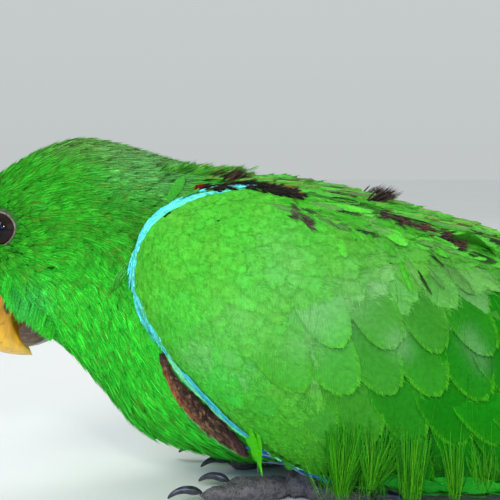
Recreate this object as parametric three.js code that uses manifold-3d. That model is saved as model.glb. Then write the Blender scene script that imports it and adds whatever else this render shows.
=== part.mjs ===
// A male eclectus parrot, life size, standing low on the floor, its head bowed and its wings loosely closed.
// Millimetres, +Z up. The bird faces -X, so that its left side faces -Y. The floor is the plane z = 0.
import * as THREE from "three";
import { mergeVertices } from "three/addons/utils/BufferGeometryUtils.js";
import Module from "manifold-3d";

const wasm = await Module();
wasm.setup();

// Driving dimensions
const GAP = 0.3; // kept between neighbouring pieces
const LEFT = -1;
const RIGHT = 1;
const SIDES = { left: LEFT, right: RIGHT };

// The bow is how far the bill is turned down from level.
const HEAD = { x: -74, z: 80.5, bow: THREE.MathUtils.degToRad(50) };
// The depth of an eye is the distance of its ball's centre from the midline.
const EYE = { ahead: -0.7, above: 0.8, depth: 13.1, radius: 6.3 };

const FOOT = { x: 14, y: 18.5, z: 4.6, toeRadius: 3.3 };
const WING_THICKNESS = 5.5;
const FEATHER_EDGE = 0.32; // least half thickness of a blade at its rim
const TAIL = {
  feathers: 12,
  root: [112, 0, 47],
  tip: [233, 0, 8.5],
  rootSpread: 7, // half width of the fan where it leaves the body, and at its tip
  spread: 14.5,
  drop: 3.2, // how much lower and shorter the outermost feathers are
  shorter: 7,
  width: 7,
  thickness: 0.8,
  lean: 0.42,
};

const COLOURS = {
  plumage: { color: 0x35b52e, roughness: 0.75 },
  wingBlade: { color: 0x1f8a2c, roughness: 0.6 },
  upperBill: { color: 0xd98a1c, roughness: 0.35 },
  lowerBill: { color: 0x3a2f2a, roughness: 0.4 },
  eye: { color: 0x1c1410, roughness: 0.08 },
  scales: { color: 0x5c5c5a, roughness: 0.7 },
  claw: { color: 0x1d1c1c, roughness: 0.4 },
};

// A point given in the head's own axes, ahead of and above its middle, as [x, z] of the bird.
function inHead(ahead, above) {
  return [
    HEAD.x - ahead * Math.cos(HEAD.bow) - above * Math.sin(HEAD.bow),
    HEAD.z - ahead * Math.sin(HEAD.bow) + above * Math.cos(HEAD.bow),
  ];
}

// Sections of head, neck and trunk, from the face to the rump: highest point, lowest point, half width,
// and how far the widest level lies below the middle.
const face = inHead(18.4, -12);
const BODY = [
  [face, face, 0, 0],
  [inHead(14.6, 4), inHead(19.2, -26), 9.4, 0.3],
  [inHead(12, 9.5), inHead(18.4, -30.2), 13.6, 0.15],
  [inHead(5, 14.3), inHead(17.8, -34.6), 17.8, 0.04],
  [inHead(-4, 16), [-53.2, 39], 19.9, 0],
  [inHead(-15, 13.8), [-49.8, 34], 20.9, 0.02],
  [inHead(-27.4, 8.7), [-45.3, 28.6], 22.3, 0.05],
  [[-52, 109.6], [-40.5, 22.4], 25.2, 0.08],
  [[-38, 107.1], [-34, 15.3], 29.5, 0.1],
  [[-25, 103.2], [-24, 11.5], 33.5, 0.1],
  [[-8, 99.2], [-8, 7.6], 37.5, 0.08],
  [[12, 97.4], [12, 6.5], 40, 0.06],
  [[35, 92.8], [36, 8.5], 40, 0.04],
  [[60, 85.5], [62, 14], 36.5, 0.02],
  [[84, 77.6], [88, 22], 30.5, 0],
  [[106, 66], [112, 28.5], 23.5, 0],
  [[126, 56], [133, 32.5], 16, 0],
  [[142, 47.5], [148, 35], 9, 0],
  [[152, 40], [152, 40], 0, 0],
];

// Sections of the upper and lower bill in the head's own axes: ridge, cutting edge, half width.
const UPPER_BILL = [
  [[9, -6], [9, -6], 0],
  [[11.5, 3.2], [15, -15.5], 8.2],
  [[17.5, 5], [18.8, -17.2], 8.8],
  [[24.5, 3.2], [21, -18.2], 8.4],
  [[30.3, -2], [22.7, -19.8], 7.5],
  [[34, -9], [24, -21.6], 6.3],
  [[34.6, -15.5], [25, -23.6], 5],
  [[33, -21], [25.8, -25.6], 3.7],
  [[30.6, -25.2], [26.4, -27], 2.3],
  [[27.6, -29.4], [27.6, -29.4], 0],
];
const LOWER_BILL = [
  [[10, -23], [10, -23], 0],
  [[13, -17.5], [13.5, -29], 7.2],
  [[17.5, -17.8], [18.6, -30.8], 7.9],
  [[21, -18.5], [23.4, -28.9], 7.2],
  [[23, -20.5], [26.2, -26.4], 5.6],
  [[25, -23], [25, -23], 0],
];

// Sections of a folded wing, from the bend to the tip: lower edge and upper edge as [x, z], then how far out
// from the midline the lower edge, the middle and the upper edge lie.
const WING = [
  [[-34.4, 68], [-34.4, 68], [31, 31, 31]],
  [[-30.6, 57], [-32.8, 79.3], [32, 34, 29]],
  [[-24.9, 48.4], [-28.4, 86.9], [33, 38, 29]],
  [[-16.9, 38], [-19.9, 92.4], [35, 42, 29]],
  [[-7.2, 28], [-8, 95.4], [36, 44.5, 28.5]],
  [[5, 19.2], [7, 95.6], [37, 46, 28]],
  [[19.4, 12.3], [25, 92], [38, 47, 27]],
  [[38, 8.3], [48, 85.2], [38, 47, 25]],
  [[65, 6.3], [74, 75], [36, 44, 23]],
  [[92, 5.8], [100, 62], [33, 38, 20]],
  [[116, 6.3], [123, 46.5], [29.5, 32, 19]],
  [[137, 8], [141, 32], [26.5, 27, 20]],
  [[152, 17], [152, 17], [23, 23, 23]],
];
// Tips of the longest wing feathers as [x, out, z]. Each runs forward into the wing by the reach. On the way
// it rises and moves outward by these shares of the reach, and the upper ones rise a little more steeply.
const PRIMARY_TIPS = [
  [184, 21.5, 7.6],
  [183.5, 21, 10],
  [180, 20.8, 13.2],
  [174.5, 20.8, 17],
  [168, 21, 21],
  [161, 21.2, 25],
];
const PRIMARY = {
  reach: 72,
  rise: 0.16,
  steeper: 0.025,
  outward: 0.105,
  width: 5.6,
  thickness: 0.9,
  lean: 0.12,
};

// Toes of a foot, with two in front and two behind: tip as [ahead, out] from the foot's middle.
const TOES = {
  toe_1: { tip: [-14, -7], radius: 0.86 },
  toe_2: { tip: [21.5, -7.5], radius: 0.95 },
  toe_3: { tip: [29.5, 5.5], radius: 1 },
  toe_4: { tip: [-23.5, 9.5], radius: 0.95 },
};
const TOE = { path: [0, 0.35, 0.7, 1], joints: 3, joint: 0.1, root: 1.12, taper: 0.3, flat: 0.92 };
const CLAW = { length: 11.5, radius: 2.1, rise: 2.6, tipHeight: 1.3, taper: 0.82, sunk: 2 };

// Leg pieces: middle line as [x, share of the foot's distance out, z], then radius at top and at bottom
const THIGH = { path: [[8, 1, 34], [16, 1.08, 22], [23, 1.06, 14], [25.5, 1, 8.2]], top: 14, bottom: 6.6 };
const SHANK = {
  path: [[28, 1, 17], [20, 1, 10.5], [FOOT.x + 2, 1, FOOT.z + 0.6], [FOOT.x - 4.6, 1, FOOT.z - 0.6]],
  top: 3.7,
  bottom: 4.9,
  flat: 0.9,
};

// Faces round and along each kind of piece
const FACETS = {
  body: [20, 28],
  upperBill: [12, 13],
  lowerBill: [10, 8],
  eye: [12, 8],
  wing: [14, 20],
  blade: [4, 5],
  thigh: [10, 7],
  shank: [8, 7],
  toe: [8, 7],
  claw: [6, 5],
};

// Solids
function solid(geometry) {
  const bare = geometry.clone();
  bare.deleteAttribute("normal");
  bare.deleteAttribute("uv");
  const merged = mergeVertices(bare, 1e-4);
  const corners = merged.index.array;
  const triVerts = [];
  for (let i = 0; i < corners.length; i += 3) {
    const [a, b, c] = corners.slice(i, i + 3);
    if (a !== b && b !== c && c !== a) triVerts.push(a, b, c);
  }
  const mesh = (order) =>
    new wasm.Mesh({ numProp: 3, vertProperties: merged.attributes.position.array, triVerts: order });
  const made = new wasm.Manifold(mesh(new Uint32Array(triVerts)));
  return made.volume() > 0 ? made : new wasm.Manifold(mesh(new Uint32Array(triVerts).reverse()));
}

function geometryOf(manifold) {
  const { numProp, vertProperties, triVerts } = manifold.getMesh();
  const places = [];
  for (let i = 0; i < vertProperties.length; i += numProp) places.push(...vertProperties.slice(i, i + 3));
  const geometry = new THREE.BufferGeometry();
  geometry.setAttribute("position", new THREE.Float32BufferAttribute(places, 3));
  geometry.setIndex(Array.from(triVerts));
  geometry.computeVertexNormals();
  return geometry;
}

// A sphere whose rings are laid out by place(t, angle): t runs from pole to pole, the angle round the ring.
function shaped([around, along], place) {
  const geometry = new THREE.SphereGeometry(1, around, along);
  const spots = geometry.attributes.position;
  const columns = around + 1;
  for (let i = 0; i < spots.count; i++) {
    const ring = Math.floor(i / columns);
    const angle = ((i % columns) / around) * 2 * Math.PI;
    const p = place(ring / along, i % columns === around ? 0 : angle);
    spots.setXYZ(i, p.x, p.y, p.z);
  }
  return solid(geometry);
}

function smooth(values) {
  return new THREE.CatmullRomCurve3(
    values.map((v) => new THREE.Vector3(...v)),
    false,
    "catmullrom",
    0.5,
  );
}

// A solid through sections in the middle plane: each has a high point, a low point and a half width.
function sectioned(sections, facets, { grow = 0, squareness = 1 } = {}) {
  const highs = smooth(sections.map(([high]) => [high[0], 0, high[1]]));
  const lows = smooth(sections.map(([, low]) => [low[0], 0, low[1]]));
  const widths = smooth(sections.map(([, , half, sag = 0]) => [half, sag, 0]));
  return shaped(facets, (t, angle) => {
    const high = highs.getPoint(t);
    const low = lows.getPoint(t);
    const { x: half, y: sag } = widths.getPoint(t);
    const reach = high.clone().sub(low).multiplyScalar(0.5);
    const middle = high.add(low).multiplyScalar(0.5);
    if (t === 0 || t === 1) return middle;
    const up = Math.cos(angle);
    const out = Math.sign(Math.sin(angle)) * Math.abs(Math.sin(angle)) ** squareness;
    middle.addScaledVector(reach.setLength(reach.length() + grow), up);
    middle.y = (half + grow) * out * (1 - sag * up);
    return middle;
  });
}

// Closes a form at both ends: 0 there, and near 1 between, the more so the higher the power.
const cap = (t, power = 8) => Math.sqrt(Math.max(0, 1 - Math.abs(1 - 2 * t) ** power));

// A limb along a path, with a radius that changes and a height that may be flatter than its width.
function limb(path, radius, facets, { flat = 1, power = 8 } = {}) {
  const curve = smooth(path);
  return shaped(facets, (t, angle) => {
    const centre = curve.getPoint(t);
    const ahead = curve.getTangent(t);
    const side = new THREE.Vector3(0, 0, 1).cross(ahead).normalize();
    const up = ahead.clone().cross(side);
    const r = radius(t) * cap(t, power);
    return centre
      .addScaledVector(side, r * Math.sin(angle))
      .addScaledVector(up, r * flat * Math.cos(angle));
  });
}

const joined = (solids) => solids.reduce((all, next) => all.add(next));
const without = (piece, ...others) => others.reduce((left, other) => left.subtract(other), piece);
const largest = (piece) => piece.decompose().sort((a, b) => b.volume() - a.volume())[0];

// The part of a solid ahead of (towards the face) or behind a cut from a high point to a low point.
function cutAcross(piece, high, low, ahead) {
  const normal = new THREE.Vector2(high[1] - low[1], low[0] - high[0]).normalize();
  const offset = normal.x * high[0] + normal.y * high[1];
  return ahead
    ? piece.trimByPlane([-normal.x, 0, -normal.y], -offset + GAP / 2)
    : piece.trimByPlane([normal.x, 0, normal.y], offset + GAP / 2);
}

// Head, neck and trunk
const body = (grow = 0) => sectioned(BODY, FACETS.body, { grow });
const inHeadSections = (rows) => rows.map(([high, low, half]) => [inHead(...high), inHead(...low), half]);
const upperBill = (grow = 0) =>
  sectioned(inHeadSections(UPPER_BILL), FACETS.upperBill, { grow, squareness: 0.85 });
const lowerBill = (grow = 0) =>
  sectioned(inHeadSections(LOWER_BILL), FACETS.lowerBill, { grow, squareness: 0.8 });

function eyeball(side, grow = 0) {
  const ball = new THREE.SphereGeometry(EYE.radius + grow, ...FACETS.eye);
  const [x, z] = inHead(EYE.ahead, EYE.above);
  return solid(ball.translate(x, side * EYE.depth, z));
}

// Wings
function wing(side, grow = 0) {
  const lows = smooth(WING.map(([low]) => [low[0], 0, low[1]]));
  const highs = smooth(WING.map(([, high]) => [high[0], 0, high[1]]));
  const outs = smooth(WING.map(([, , out]) => out));
  return shaped(FACETS.wing, (t, angle) => {
    const low = lows.getPoint(t);
    const high = highs.getPoint(t);
    const { x: outLow, y: outMiddle, z: outHigh } = outs.getPoint(t);
    const level = (1 + Math.cos(angle)) / 2;
    const place = low.lerp(high, level);
    const bulge = outMiddle - (outLow + outHigh) / 2;
    const crown = outLow + (outHigh - outLow) * level + bulge * 4 * level * (1 - level);
    const fullness = Math.abs(Math.sin(angle)) ** 0.7;
    const half = (WING_THICKNESS / 2) * cap(t, 6) * fullness + grow;
    const ends = t === 0 || t === 1 ? 0 : 1;
    place.y = side * (crown + ends * Math.sign(Math.sin(angle) || 1) * Math.max(half, FEATHER_EDGE));
    return place;
  });
}

// A flat feather from its root to its rounded tip.
function blade(root, tip, halfWidth, halfThickness, lean) {
  const from = new THREE.Vector3(...root);
  const to = new THREE.Vector3(...tip);
  const ahead = to.clone().sub(from).normalize();
  const across = new THREE.Vector3(...lean).addScaledVector(ahead, -ahead.dot(new THREE.Vector3(...lean)));
  across.normalize();
  const facing = ahead.clone().cross(across);
  return shaped(FACETS.blade, (t, angle) => {
    const share = (1 - Math.cos(Math.PI * t)) / 2;
    const wide = halfWidth * cap(share, 9);
    const thick = t === 0 || t === 1 ? 0 : Math.max(halfThickness * Math.sin(Math.PI * share), FEATHER_EDGE);
    const corner = angle + Math.PI / 4; // the four corners of a flat plate
    return from
      .clone()
      .lerp(to, share)
      .addScaledVector(across, wide * Math.SQRT2 * Math.cos(corner))
      .addScaledVector(facing, thick * Math.SQRT2 * Math.sin(corner));
  });
}

function primaries(side) {
  const { reach, rise, steeper, outward, width, thickness, lean } = PRIMARY;
  const blades = PRIMARY_TIPS.map(([x, out, z], i) => {
    const root = [x - reach, side * (out + outward * reach), z + (rise + steeper * i) * reach];
    return blade(root, [x, side * out, z], width, thickness, [0, lean * side, 1]);
  });
  return joined(blades);
}

function tailFan() {
  const { root, tip, feathers, rootSpread, spread, width, thickness, lean } = TAIL;
  const blades = Array.from({ length: feathers }, (_, i) => {
    const place = (2 * i) / (feathers - 1) - 1; // from -1 at one edge to 1 at the other
    const drop = TAIL.drop * place ** 2;
    const shorter = TAIL.shorter * place ** 2;
    return blade(
      [root[0], place * rootSpread, root[2] - drop * 0.4],
      [tip[0] - shorter, place * spread, tip[2] - drop + shorter * 0.3],
      width,
      thickness,
      [0, 1, -lean * place],
    );
  });
  return joined(blades);
}

// Legs
const UP = [0, 0, 1];

function leg(side, { path, top, bottom, flat = 1 }, facets, grow = 0) {
  const line = path.map(([x, share, z]) => [x, side * FOOT.y * share, z]);
  return limb(line, (t) => top + (bottom - top) * t + grow, facets, { flat });
}

const thigh = (side) => leg(side, THIGH, FACETS.thigh);
const shank = (side, grow = 0) => leg(side, SHANK, FACETS.shank, grow).trimByPlane(UP, 0);

function toe(side, { tip: [ahead, out], radius }, grow = 0) {
  const r = FOOT.toeRadius * radius;
  const heights = [FOOT.z - 1, r - 0.3, r - 0.9, r - 0.9];
  const path = TOE.path.map((share, i) => [
    FOOT.x - ahead * share,
    side * (FOOT.y + out * share),
    heights[i],
  ]);
  const joints = (t) => 1 + TOE.joint * Math.cos(2 * Math.PI * TOE.joints * t);
  const girth = (t) => r * (TOE.root - TOE.taper * t) * joints(t) + grow;
  return limb(path, girth, FACETS.toe, { flat: TOE.flat }).trimByPlane(UP, 0);
}

function claw(side, { tip: [ahead, out], radius }) {
  const span = Math.hypot(ahead, out);
  const r = FOOT.toeRadius * radius;
  const step = (past, z) => {
    const share = (span + past) / span;
    return [FOOT.x - ahead * share, side * (FOOT.y + out * share), z];
  };
  const { length, rise, tipHeight, taper, sunk } = CLAW;
  const path = [
    step(-sunk, r - 0.6),
    step(length * 0.3, r + rise * 0.45),
    step(length * 0.66, r + rise * 0.1),
    step(length * 0.86, tipHeight),
  ];
  const girth = (t) => CLAW.radius * (1 - taper * t);
  return limb(path, girth, FACETS.claw, { power: 20 }).trimByPlane(UP, 0.1);
}

// Everything, each piece in a node of its own
const bird = new THREE.Group();

function add(name, piece, look) {
  const mesh = new THREE.Mesh(geometryOf(largest(piece)), new THREE.MeshStandardMaterial(look));
  mesh.name = name;
  bird.add(mesh);
}

const whole = body();
const around = body(GAP);
const HEAD_CUT = [[-60.5, 112], [-49, 26]];
const NECK_CUT = [[-31, 108], [-32, 8]];

const skull = cutAcross(whole, ...HEAD_CUT, true);
const eyesOut = [eyeball(LEFT, GAP), eyeball(RIGHT, GAP)];
add("head", without(skull, upperBill(GAP), lowerBill(GAP), ...eyesOut), COLOURS.plumage);
add("neck", cutAcross(cutAcross(whole, ...HEAD_CUT, false), ...NECK_CUT, true), COLOURS.plumage);
add("upper_bill", upperBill(), COLOURS.upperBill);
add("lower_bill", without(lowerBill(), upperBill(GAP)), COLOURS.lowerBill);

add("trunk", cutAcross(whole, ...NECK_CUT, false), COLOURS.plumage);
add("tail", without(tailFan(), around), COLOURS.wingBlade);

for (const [name, side] of Object.entries(SIDES)) {
  add(`eye_${name}`, eyeball(side), COLOURS.eye);
  add(`wing_${name}`, without(wing(side), around), COLOURS.plumage);
  add(`primaries_${name}`, without(primaries(side), wing(side, GAP), around), COLOURS.wingBlade);

  const grownShank = shank(side, GAP);
  add(`thigh_${name}`, without(thigh(side), around, grownShank), COLOURS.plumage);
  add(`shank_${name}`, without(shank(side), around), COLOURS.scales);
  const before = [];
  for (const [toeName, shape] of Object.entries(TOES)) {
    const point = claw(side, shape);
    add(`${toeName}_${name}`, without(toe(side, shape), grownShank, ...before), COLOURS.scales);
    add(`claw_${toeName.slice(-1)}_${name}`, without(point, toe(side, shape, GAP)), COLOURS.claw);
    before.push(toe(side, shape, GAP));
  }
}

// The origin is on the floor under the middle of the bird.
const box = new THREE.Box3().setFromObject(bird);
const middle = box.getCenter(new THREE.Vector3());
bird.position.set(-middle.x, -middle.y, -box.min.z);

export default bird;
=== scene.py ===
"""Eclectus parrot: one skin with its coat, eyes, bill, feet and flight feathers, and a plain stage."""
import math

import bpy
import numpy as np
from bpy.props import FloatProperty, FloatVectorProperty, IntProperty, PointerProperty
from bpy.types import Operator, Panel, PropertyGroup
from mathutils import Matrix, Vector
from mathutils.bvhtree import BVHTree


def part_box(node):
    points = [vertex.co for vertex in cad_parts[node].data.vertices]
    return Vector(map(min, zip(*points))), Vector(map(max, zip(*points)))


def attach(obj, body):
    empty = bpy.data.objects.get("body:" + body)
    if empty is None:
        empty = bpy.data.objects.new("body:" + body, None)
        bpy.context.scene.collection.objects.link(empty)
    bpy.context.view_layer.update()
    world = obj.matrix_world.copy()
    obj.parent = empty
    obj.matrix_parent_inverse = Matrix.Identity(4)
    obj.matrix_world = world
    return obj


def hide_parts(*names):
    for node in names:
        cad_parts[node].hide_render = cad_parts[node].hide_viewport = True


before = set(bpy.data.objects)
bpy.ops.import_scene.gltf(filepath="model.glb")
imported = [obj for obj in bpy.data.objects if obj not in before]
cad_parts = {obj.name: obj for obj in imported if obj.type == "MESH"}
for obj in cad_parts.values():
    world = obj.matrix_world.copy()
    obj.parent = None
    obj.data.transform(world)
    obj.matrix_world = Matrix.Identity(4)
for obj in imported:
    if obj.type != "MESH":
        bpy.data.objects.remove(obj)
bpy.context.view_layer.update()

bl_info = {
    "name": "Eclectus parrot",
    "version": (1, 0, 0),
    "blender": (4, 5, 0),
    "location": "3D View > Sidebar > Parrot",
    "description": "Builds an eclectus parrot feather by feather over its solid model",
    "category": "Object",
}

MM = 0.001
SIDES = {"left": -1, "right": 1}
FLOOR_CLEARANCE = 0.4 * MM
WINGS = ["wing_left", "wing_right"]
THIGHS = ["thigh_left", "thigh_right"]
FLESH = ["head", "neck", "trunk", *THIGHS, *WINGS]
TOES = ["toe_1", "toe_2", "toe_3", "toe_4"]

# Camera: what it looks at, how far off it is, and the size of one photo pixel there
AIM = Vector((-0.070402, 0.0, 0.074))
CAMERA_DISTANCE = 0.35
CAMERA_RISE = math.radians(5)
PHOTO_CENTRE = 250
PIXEL = 0.315 * MM
# How far the wing, the patches of colour, the body and the chin stand out from the bird's middle
WING_OUT, PATCH_OUT, BODY_OUT, CHIN_OUT = 0.045, 0.03, 0.025, 0.02
TOWARDS_CAMERA = Vector((0, -math.cos(CAMERA_RISE), math.sin(CAMERA_RISE)))
CAMERA_PLACE = AIM + CAMERA_DISTANCE * TOWARDS_CAMERA


def linear(red, green, blue):
    """Linear colour of one given in steps of 0 to 255."""
    levels = [value / 255 for value in (red, green, blue)]
    return tuple(v / 12.92 if v <= 0.04045 else ((v + 0.055) / 1.055) ** 2.4 for v in levels)


def place(px, py, out=WING_OUT):
    """X and Z of a photo pixel on the bird's left side, at a given distance out from its middle."""
    scale = PIXEL * (CAMERA_DISTANCE - out) / CAMERA_DISTANCE
    return (AIM.x + (px - PHOTO_CENTRE) * scale,
            AIM.z + (PHOTO_CENTRE - py) * scale + out * math.sin(CAMERA_RISE))


def pixel_of(points, out=WING_OUT):
    """Photo pixels of points on the bird's left side, at a given distance out from its middle."""
    scale = PIXEL * (CAMERA_DISTANCE - out) / CAMERA_DISTANCE
    return (PHOTO_CENTRE + (points[:, 0] - AIM.x) / scale,
            PHOTO_CENTRE - (points[:, 2] - AIM.z - out * math.sin(CAMERA_RISE)) / scale)


# Way the feathers lie: photo x, photo y, and the angle above the bird's rearward axis in degrees
BODY_LIE = (
    (-60, 260, 95), (-30, 215, 60), (-5, 182, 34), (20, 160, 26), (50, 144, 12), (100, 139, -5),
    (150, 157, -20), (200, 172, -8), (260, 178, -4), (330, 190, -7), (420, 210, -12), (520, 243, -18),
    (650, 300, -22), (760, 350, -25), (0, 200, 16), (30, 185, 9), (60, 175, 5), (70, 200, 2),
    (105, 190, -9), (135, 215, -24), (30, 212, 8), (30, 232, 12), (50, 245, 4), (45, 265, -14),
    (80, 240, -12), (80, 275, -34), (12, 275, -34), (25, 295, -48), (18, 312, -78), (30, 322, -74),
    (48, 333, -60), (55, 305, -50), (75, 325, -52), (100, 300, -54), (112, 262, -46), (100, 370, -54),
    (130, 415, -48), (165, 440, -30), (215, 462, -14), (300, 490, -8), (420, 500, -3), (560, 480, 6),
    (700, 450, 2), (-30, 330, -100), (160, 330, -55),
)
WING_LIE = (
    (250, 185, -12), (215, 188, -22), (180, 205, -35), (150, 235, -55), (138, 275, -66), (142, 320, -64),
    (165, 370, -56), (200, 410, -48), (250, 445, -36), (320, 478, -26), (400, 500, -24), (180, 280, -62),
    (220, 250, -55), (220, 330, -62), (280, 220, -42), (300, 290, -60), (300, 380, -62), (350, 250, -40),
    (400, 300, -52), (380, 400, -64), (440, 380, -62), (480, 320, -48), (520, 400, -48), (560, 300, -30),
    (640, 380, -24), (700, 440, -12), (400, 225, -18), (480, 250, -22), (560, 500, -8), (640, 500, -4),
    (700, 495, 0), (620, 440, -14),
)
# Leading edge of the wing in photo pixels, and a pixel well inside it
WING_EDGE = (
    (276, 190), (258, 186), (240, 184), (222, 186), (202, 190), (177, 200), (160, 210), (148, 220),
    (140, 230), (134, 246), (131, 259), (131, 276), (133, 290), (137, 306), (142, 320), (149, 332),
    (158, 346), (164, 353), (174, 366), (181, 375), (189, 386), (197, 395), (206, 406), (216, 416),
    (225, 425), (235, 432), (245, 439), (262, 451), (290, 465), (320, 478), (345, 490), (400, 503),
    (480, 508), (560, 508), (640, 506), (700, 500),
)
WING_MIDDLE = (300.0, 330.0)
# Width in mm of the bright rim at some photo pixels of the edge, and where its cyan gives way to blue,
# where feathers hide its outer side, and where it turns green
RIM_WIDTHS = (
    (276, 190, 1.4), (215, 187, 2.5), (148, 220, 2.1), (134, 246, 1.4), (131, 276, 1.1), (142, 320, 1.1),
    (150, 334, 0.8), (162, 351, 0.5), (167, 357, 0.2), (174, 366, 0.9), (185, 381, 2.1), (228, 427, 2.1),
    (238, 434, 1.2), (247, 440, 0.4), (700, 500, 0.4),
)
RIM_BREAK = ((165, 354), (172, 363))
RIM_HIDDEN = ((137, 306), (145, 324))
RIM_GREEN = ((322, 479), (345, 490))
# Inner and outer side of the brown flank band below the wing, in photo pixels
FLANK_INNER = (
    (163, 352), (174, 367), (183, 380), (191, 391), (202, 402), (214, 414), (226, 425), (238, 437),
    (248, 453),
)
FLANK_OUTER = (
    (160, 355), (164, 368), (170, 382), (176, 396), (184, 409), (197, 421), (211, 434), (229, 447),
    (248, 456),
)
# Ruffled gaps between shoulder and wing, and the line of the shoulder, in photo pixels
# In these gaps the body colours turn dark brown, partly dark down and partly painted shade
BACK_GAPS = (
    ((194, 187), (206, 188), (222, 186), (236, 183), (255, 186), (272, 190), (296, 195)),
    ((372, 210), (388, 215), (404, 221), (424, 228), (444, 236), (456, 244)),
)
# Along the shoulder line the body colours darken: painted shade where the wing meets the back
SHOULDER_LINE = ((205, 188), (300, 198), (400, 218), (470, 242))
# Patches on head and wing: photo pixel, radius in pixels and strength, some after their colour
# Patches of painted sheen on the nape
NAPE_SHEEN = ((108, 163, 30, 1), (150, 172, 24, 1))
# The dark green patches at (118, 230) and (112, 276) are painted shade on the neck before the wing's edge
HEAD_PATCHES = (
    ((22, 96, 84), ((19, 209, 4, 0.35),)), ((70, 205, 110), ((18, 300, 16, 0.6),)),
    ((18, 104, 12), ((118, 230, 30, 0.6), (112, 276, 14, 0.5))),
)
WING_PATCHES = (
    ((58, 206, 66), ((205, 368, 34, 0.75), (175, 300, 24, 0.4))), ((48, 176, 30), ((250, 420, 40, 0.5),)),
)
# Patches of painted sheen on the wing, where light glances off the feathers
WING_SHEEN = (
    (190, 340, 16, 1), (228, 360, 12, 0.6), (300, 322, 26, 0.9), (396, 338, 11, 0.7), (404, 350, 9, 0.5),
    (470, 338, 9, 0.6), (478, 352, 9, 0.6), (484, 366, 8, 0.4), (340, 292, 30, 0.8), (440, 272, 20, 0.6),
    (268, 250, 24, 0.6), (225, 300, 24, 0.5), (360, 270, 16, 0.6),
)
# Photo pixels over which the large coverts begin from the left and from above, and end on the right
LARGE_LEFT, LARGE_TOP, LARGE_RIGHT = (300, 340), (290, 315), (550, 580)


def length_property(name, description, default, least, most):
    """A length, given in mm."""
    return FloatProperty(name=name, description=description, default=default * MM, min=least * MM,
                         max=most * MM, unit="LENGTH")


class ParrotSizes(PropertyGroup):
    """Sizes a user would change."""
    skin_grain: length_property("Skin grain", "Width of one face of the skin", 1.25, 0.8, 4)
    face_tuft: length_property("Face tuft", "Length of the shortest feathers, at the bill", 3.4, 1, 10)
    breast_tuft: length_property("Breast tuft", "Length of the soft feathers of the breast", 12, 4, 30)
    tuft_spacing: length_property("Tuft spacing", "Distance between tufts on the head", 1.3, 0.8, 6)
    body_feather: length_property("Body feather", "Length of the feathers of the back", 17, 6, 40)
    barb_width: length_property("Barb width", "Width of one loose barb", 0.22, 0.1, 1)
    pupil: length_property("Pupil", "Radius of the pupil", 2.7, 1, 4)
    lid: length_property("Lid", "Radius of the bare ring round the eye", 4.95, 4, 6)
    seed: IntProperty(name="Seed", description="Starts the scatter of the feathers", default=7, min=0)


def colour_property(name, description, rgb):
    return FloatVectorProperty(name=name, description=description, subtype="COLOR", size=3,
                               min=0, max=1, default=linear(*rgb))


class ParrotColours(PropertyGroup):
    """Colours a user would change."""
    head: colour_property("Head", "Green of the head", (34, 168, 24))
    head_shade: colour_property("Head shade", "Dark green between the tufts", (14, 88, 10))
    throat: colour_property("Throat", "Brighter green of cheek, throat and breast", (44, 228, 52))
    olive: colour_property("Olive", "Olive brown flecks of the head", (96, 118, 34))
    # The nape's grey green is painted sheen
    nape: colour_property("Nape", "Grey green bloom on the nape", (126, 156, 124))
    back: colour_property("Back", "Yellowish green of the back", (72, 172, 32))
    belly: colour_property("Belly", "Green of belly and vent", (60, 204, 34))
    wing: colour_property("Wing", "Green of the wing", (72, 188, 52))
    wing_deep: colour_property("Wing, deep", "Deep green of the large coverts", (8, 104, 2))
    wing_fringe: colour_property("Wing fringe", "Yellow green of the feather rims", (98, 216, 30))
    # Grey of the painted sheen laid over wing and coverts
    painted_sheen: colour_property("Bloom", "Greyish bloom on the wing", (140, 172, 132))
    cyan: colour_property("Cyan", "Edge of the wing", (70, 236, 244))
    blue: colour_property("Blue", "Lower edge of the wing and flight feathers", (34, 118, 196))
    flank: colour_property("Flank", "Brown of the flank", (88, 66, 50))
    flank_rim: colour_property("Flank rim", "Orange red rims of the flank", (180, 104, 66))
    # Dark brown of the gaps between shoulder and wing: partly down, partly painted shade
    down: colour_property("Down", "Dark down in the gaps", (44, 32, 30))


# Surfaces

def deselect():
    if bpy.context.object and bpy.context.object.mode != "OBJECT":
        bpy.ops.object.mode_set(mode="OBJECT")
    bpy.ops.object.select_all(action="DESELECT")


def use(piece):
    deselect()
    piece.select_set(True)
    bpy.context.view_layer.objects.active = piece


def copy_of(names, title, swell=0.0):
    """Nodes copied, joined and merged into one new piece, each swollen a little first."""
    deselect()
    for name in names:
        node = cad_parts[name]
        twin = bpy.data.objects.new(title, node.data.copy())
        bpy.context.scene.collection.objects.link(twin)
        twin.select_set(True)
        bpy.context.view_layer.objects.active = twin
    if len(names) > 1:
        bpy.ops.object.join()
    piece = bpy.context.object
    piece.name = piece.data.name = title
    piece.data.materials.clear()
    bpy.ops.object.mode_set(mode="EDIT")
    bpy.ops.mesh.select_all(action="SELECT")
    bpy.ops.mesh.remove_doubles(threshold=0.02 * MM)
    bpy.ops.mesh.normals_make_consistent(inside=False)
    if swell:
        bpy.ops.transform.shrink_fatten(value=swell)
    bpy.ops.object.mode_set(mode="OBJECT")
    return piece


def remesh(piece, grain, rounds):
    """Even faces over a piece, with its edges softened."""
    use(piece)
    piece.data.remesh_voxel_size = grain
    bpy.ops.object.voxel_remesh()
    soften = piece.modifiers.new("Soften", "SMOOTH")
    soften.factor = 0.5
    soften.iterations = rounds
    bpy.ops.object.modifier_apply(modifier=soften.name)
    bpy.ops.object.shade_smooth()


def read(items, key, width=1, kind=np.float32):
    """One property of many mesh elements as an array."""
    flat = np.empty(len(items) * width, dtype=kind)
    items.foreach_get(key, flat)
    return flat.reshape(-1, width) if width > 1 else flat


def points_of(mesh):
    return read(mesh.vertices, "co", 3).astype(float)


def normals_of(mesh):
    return read(mesh.vertex_normals, "vector", 3).astype(float)


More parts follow.
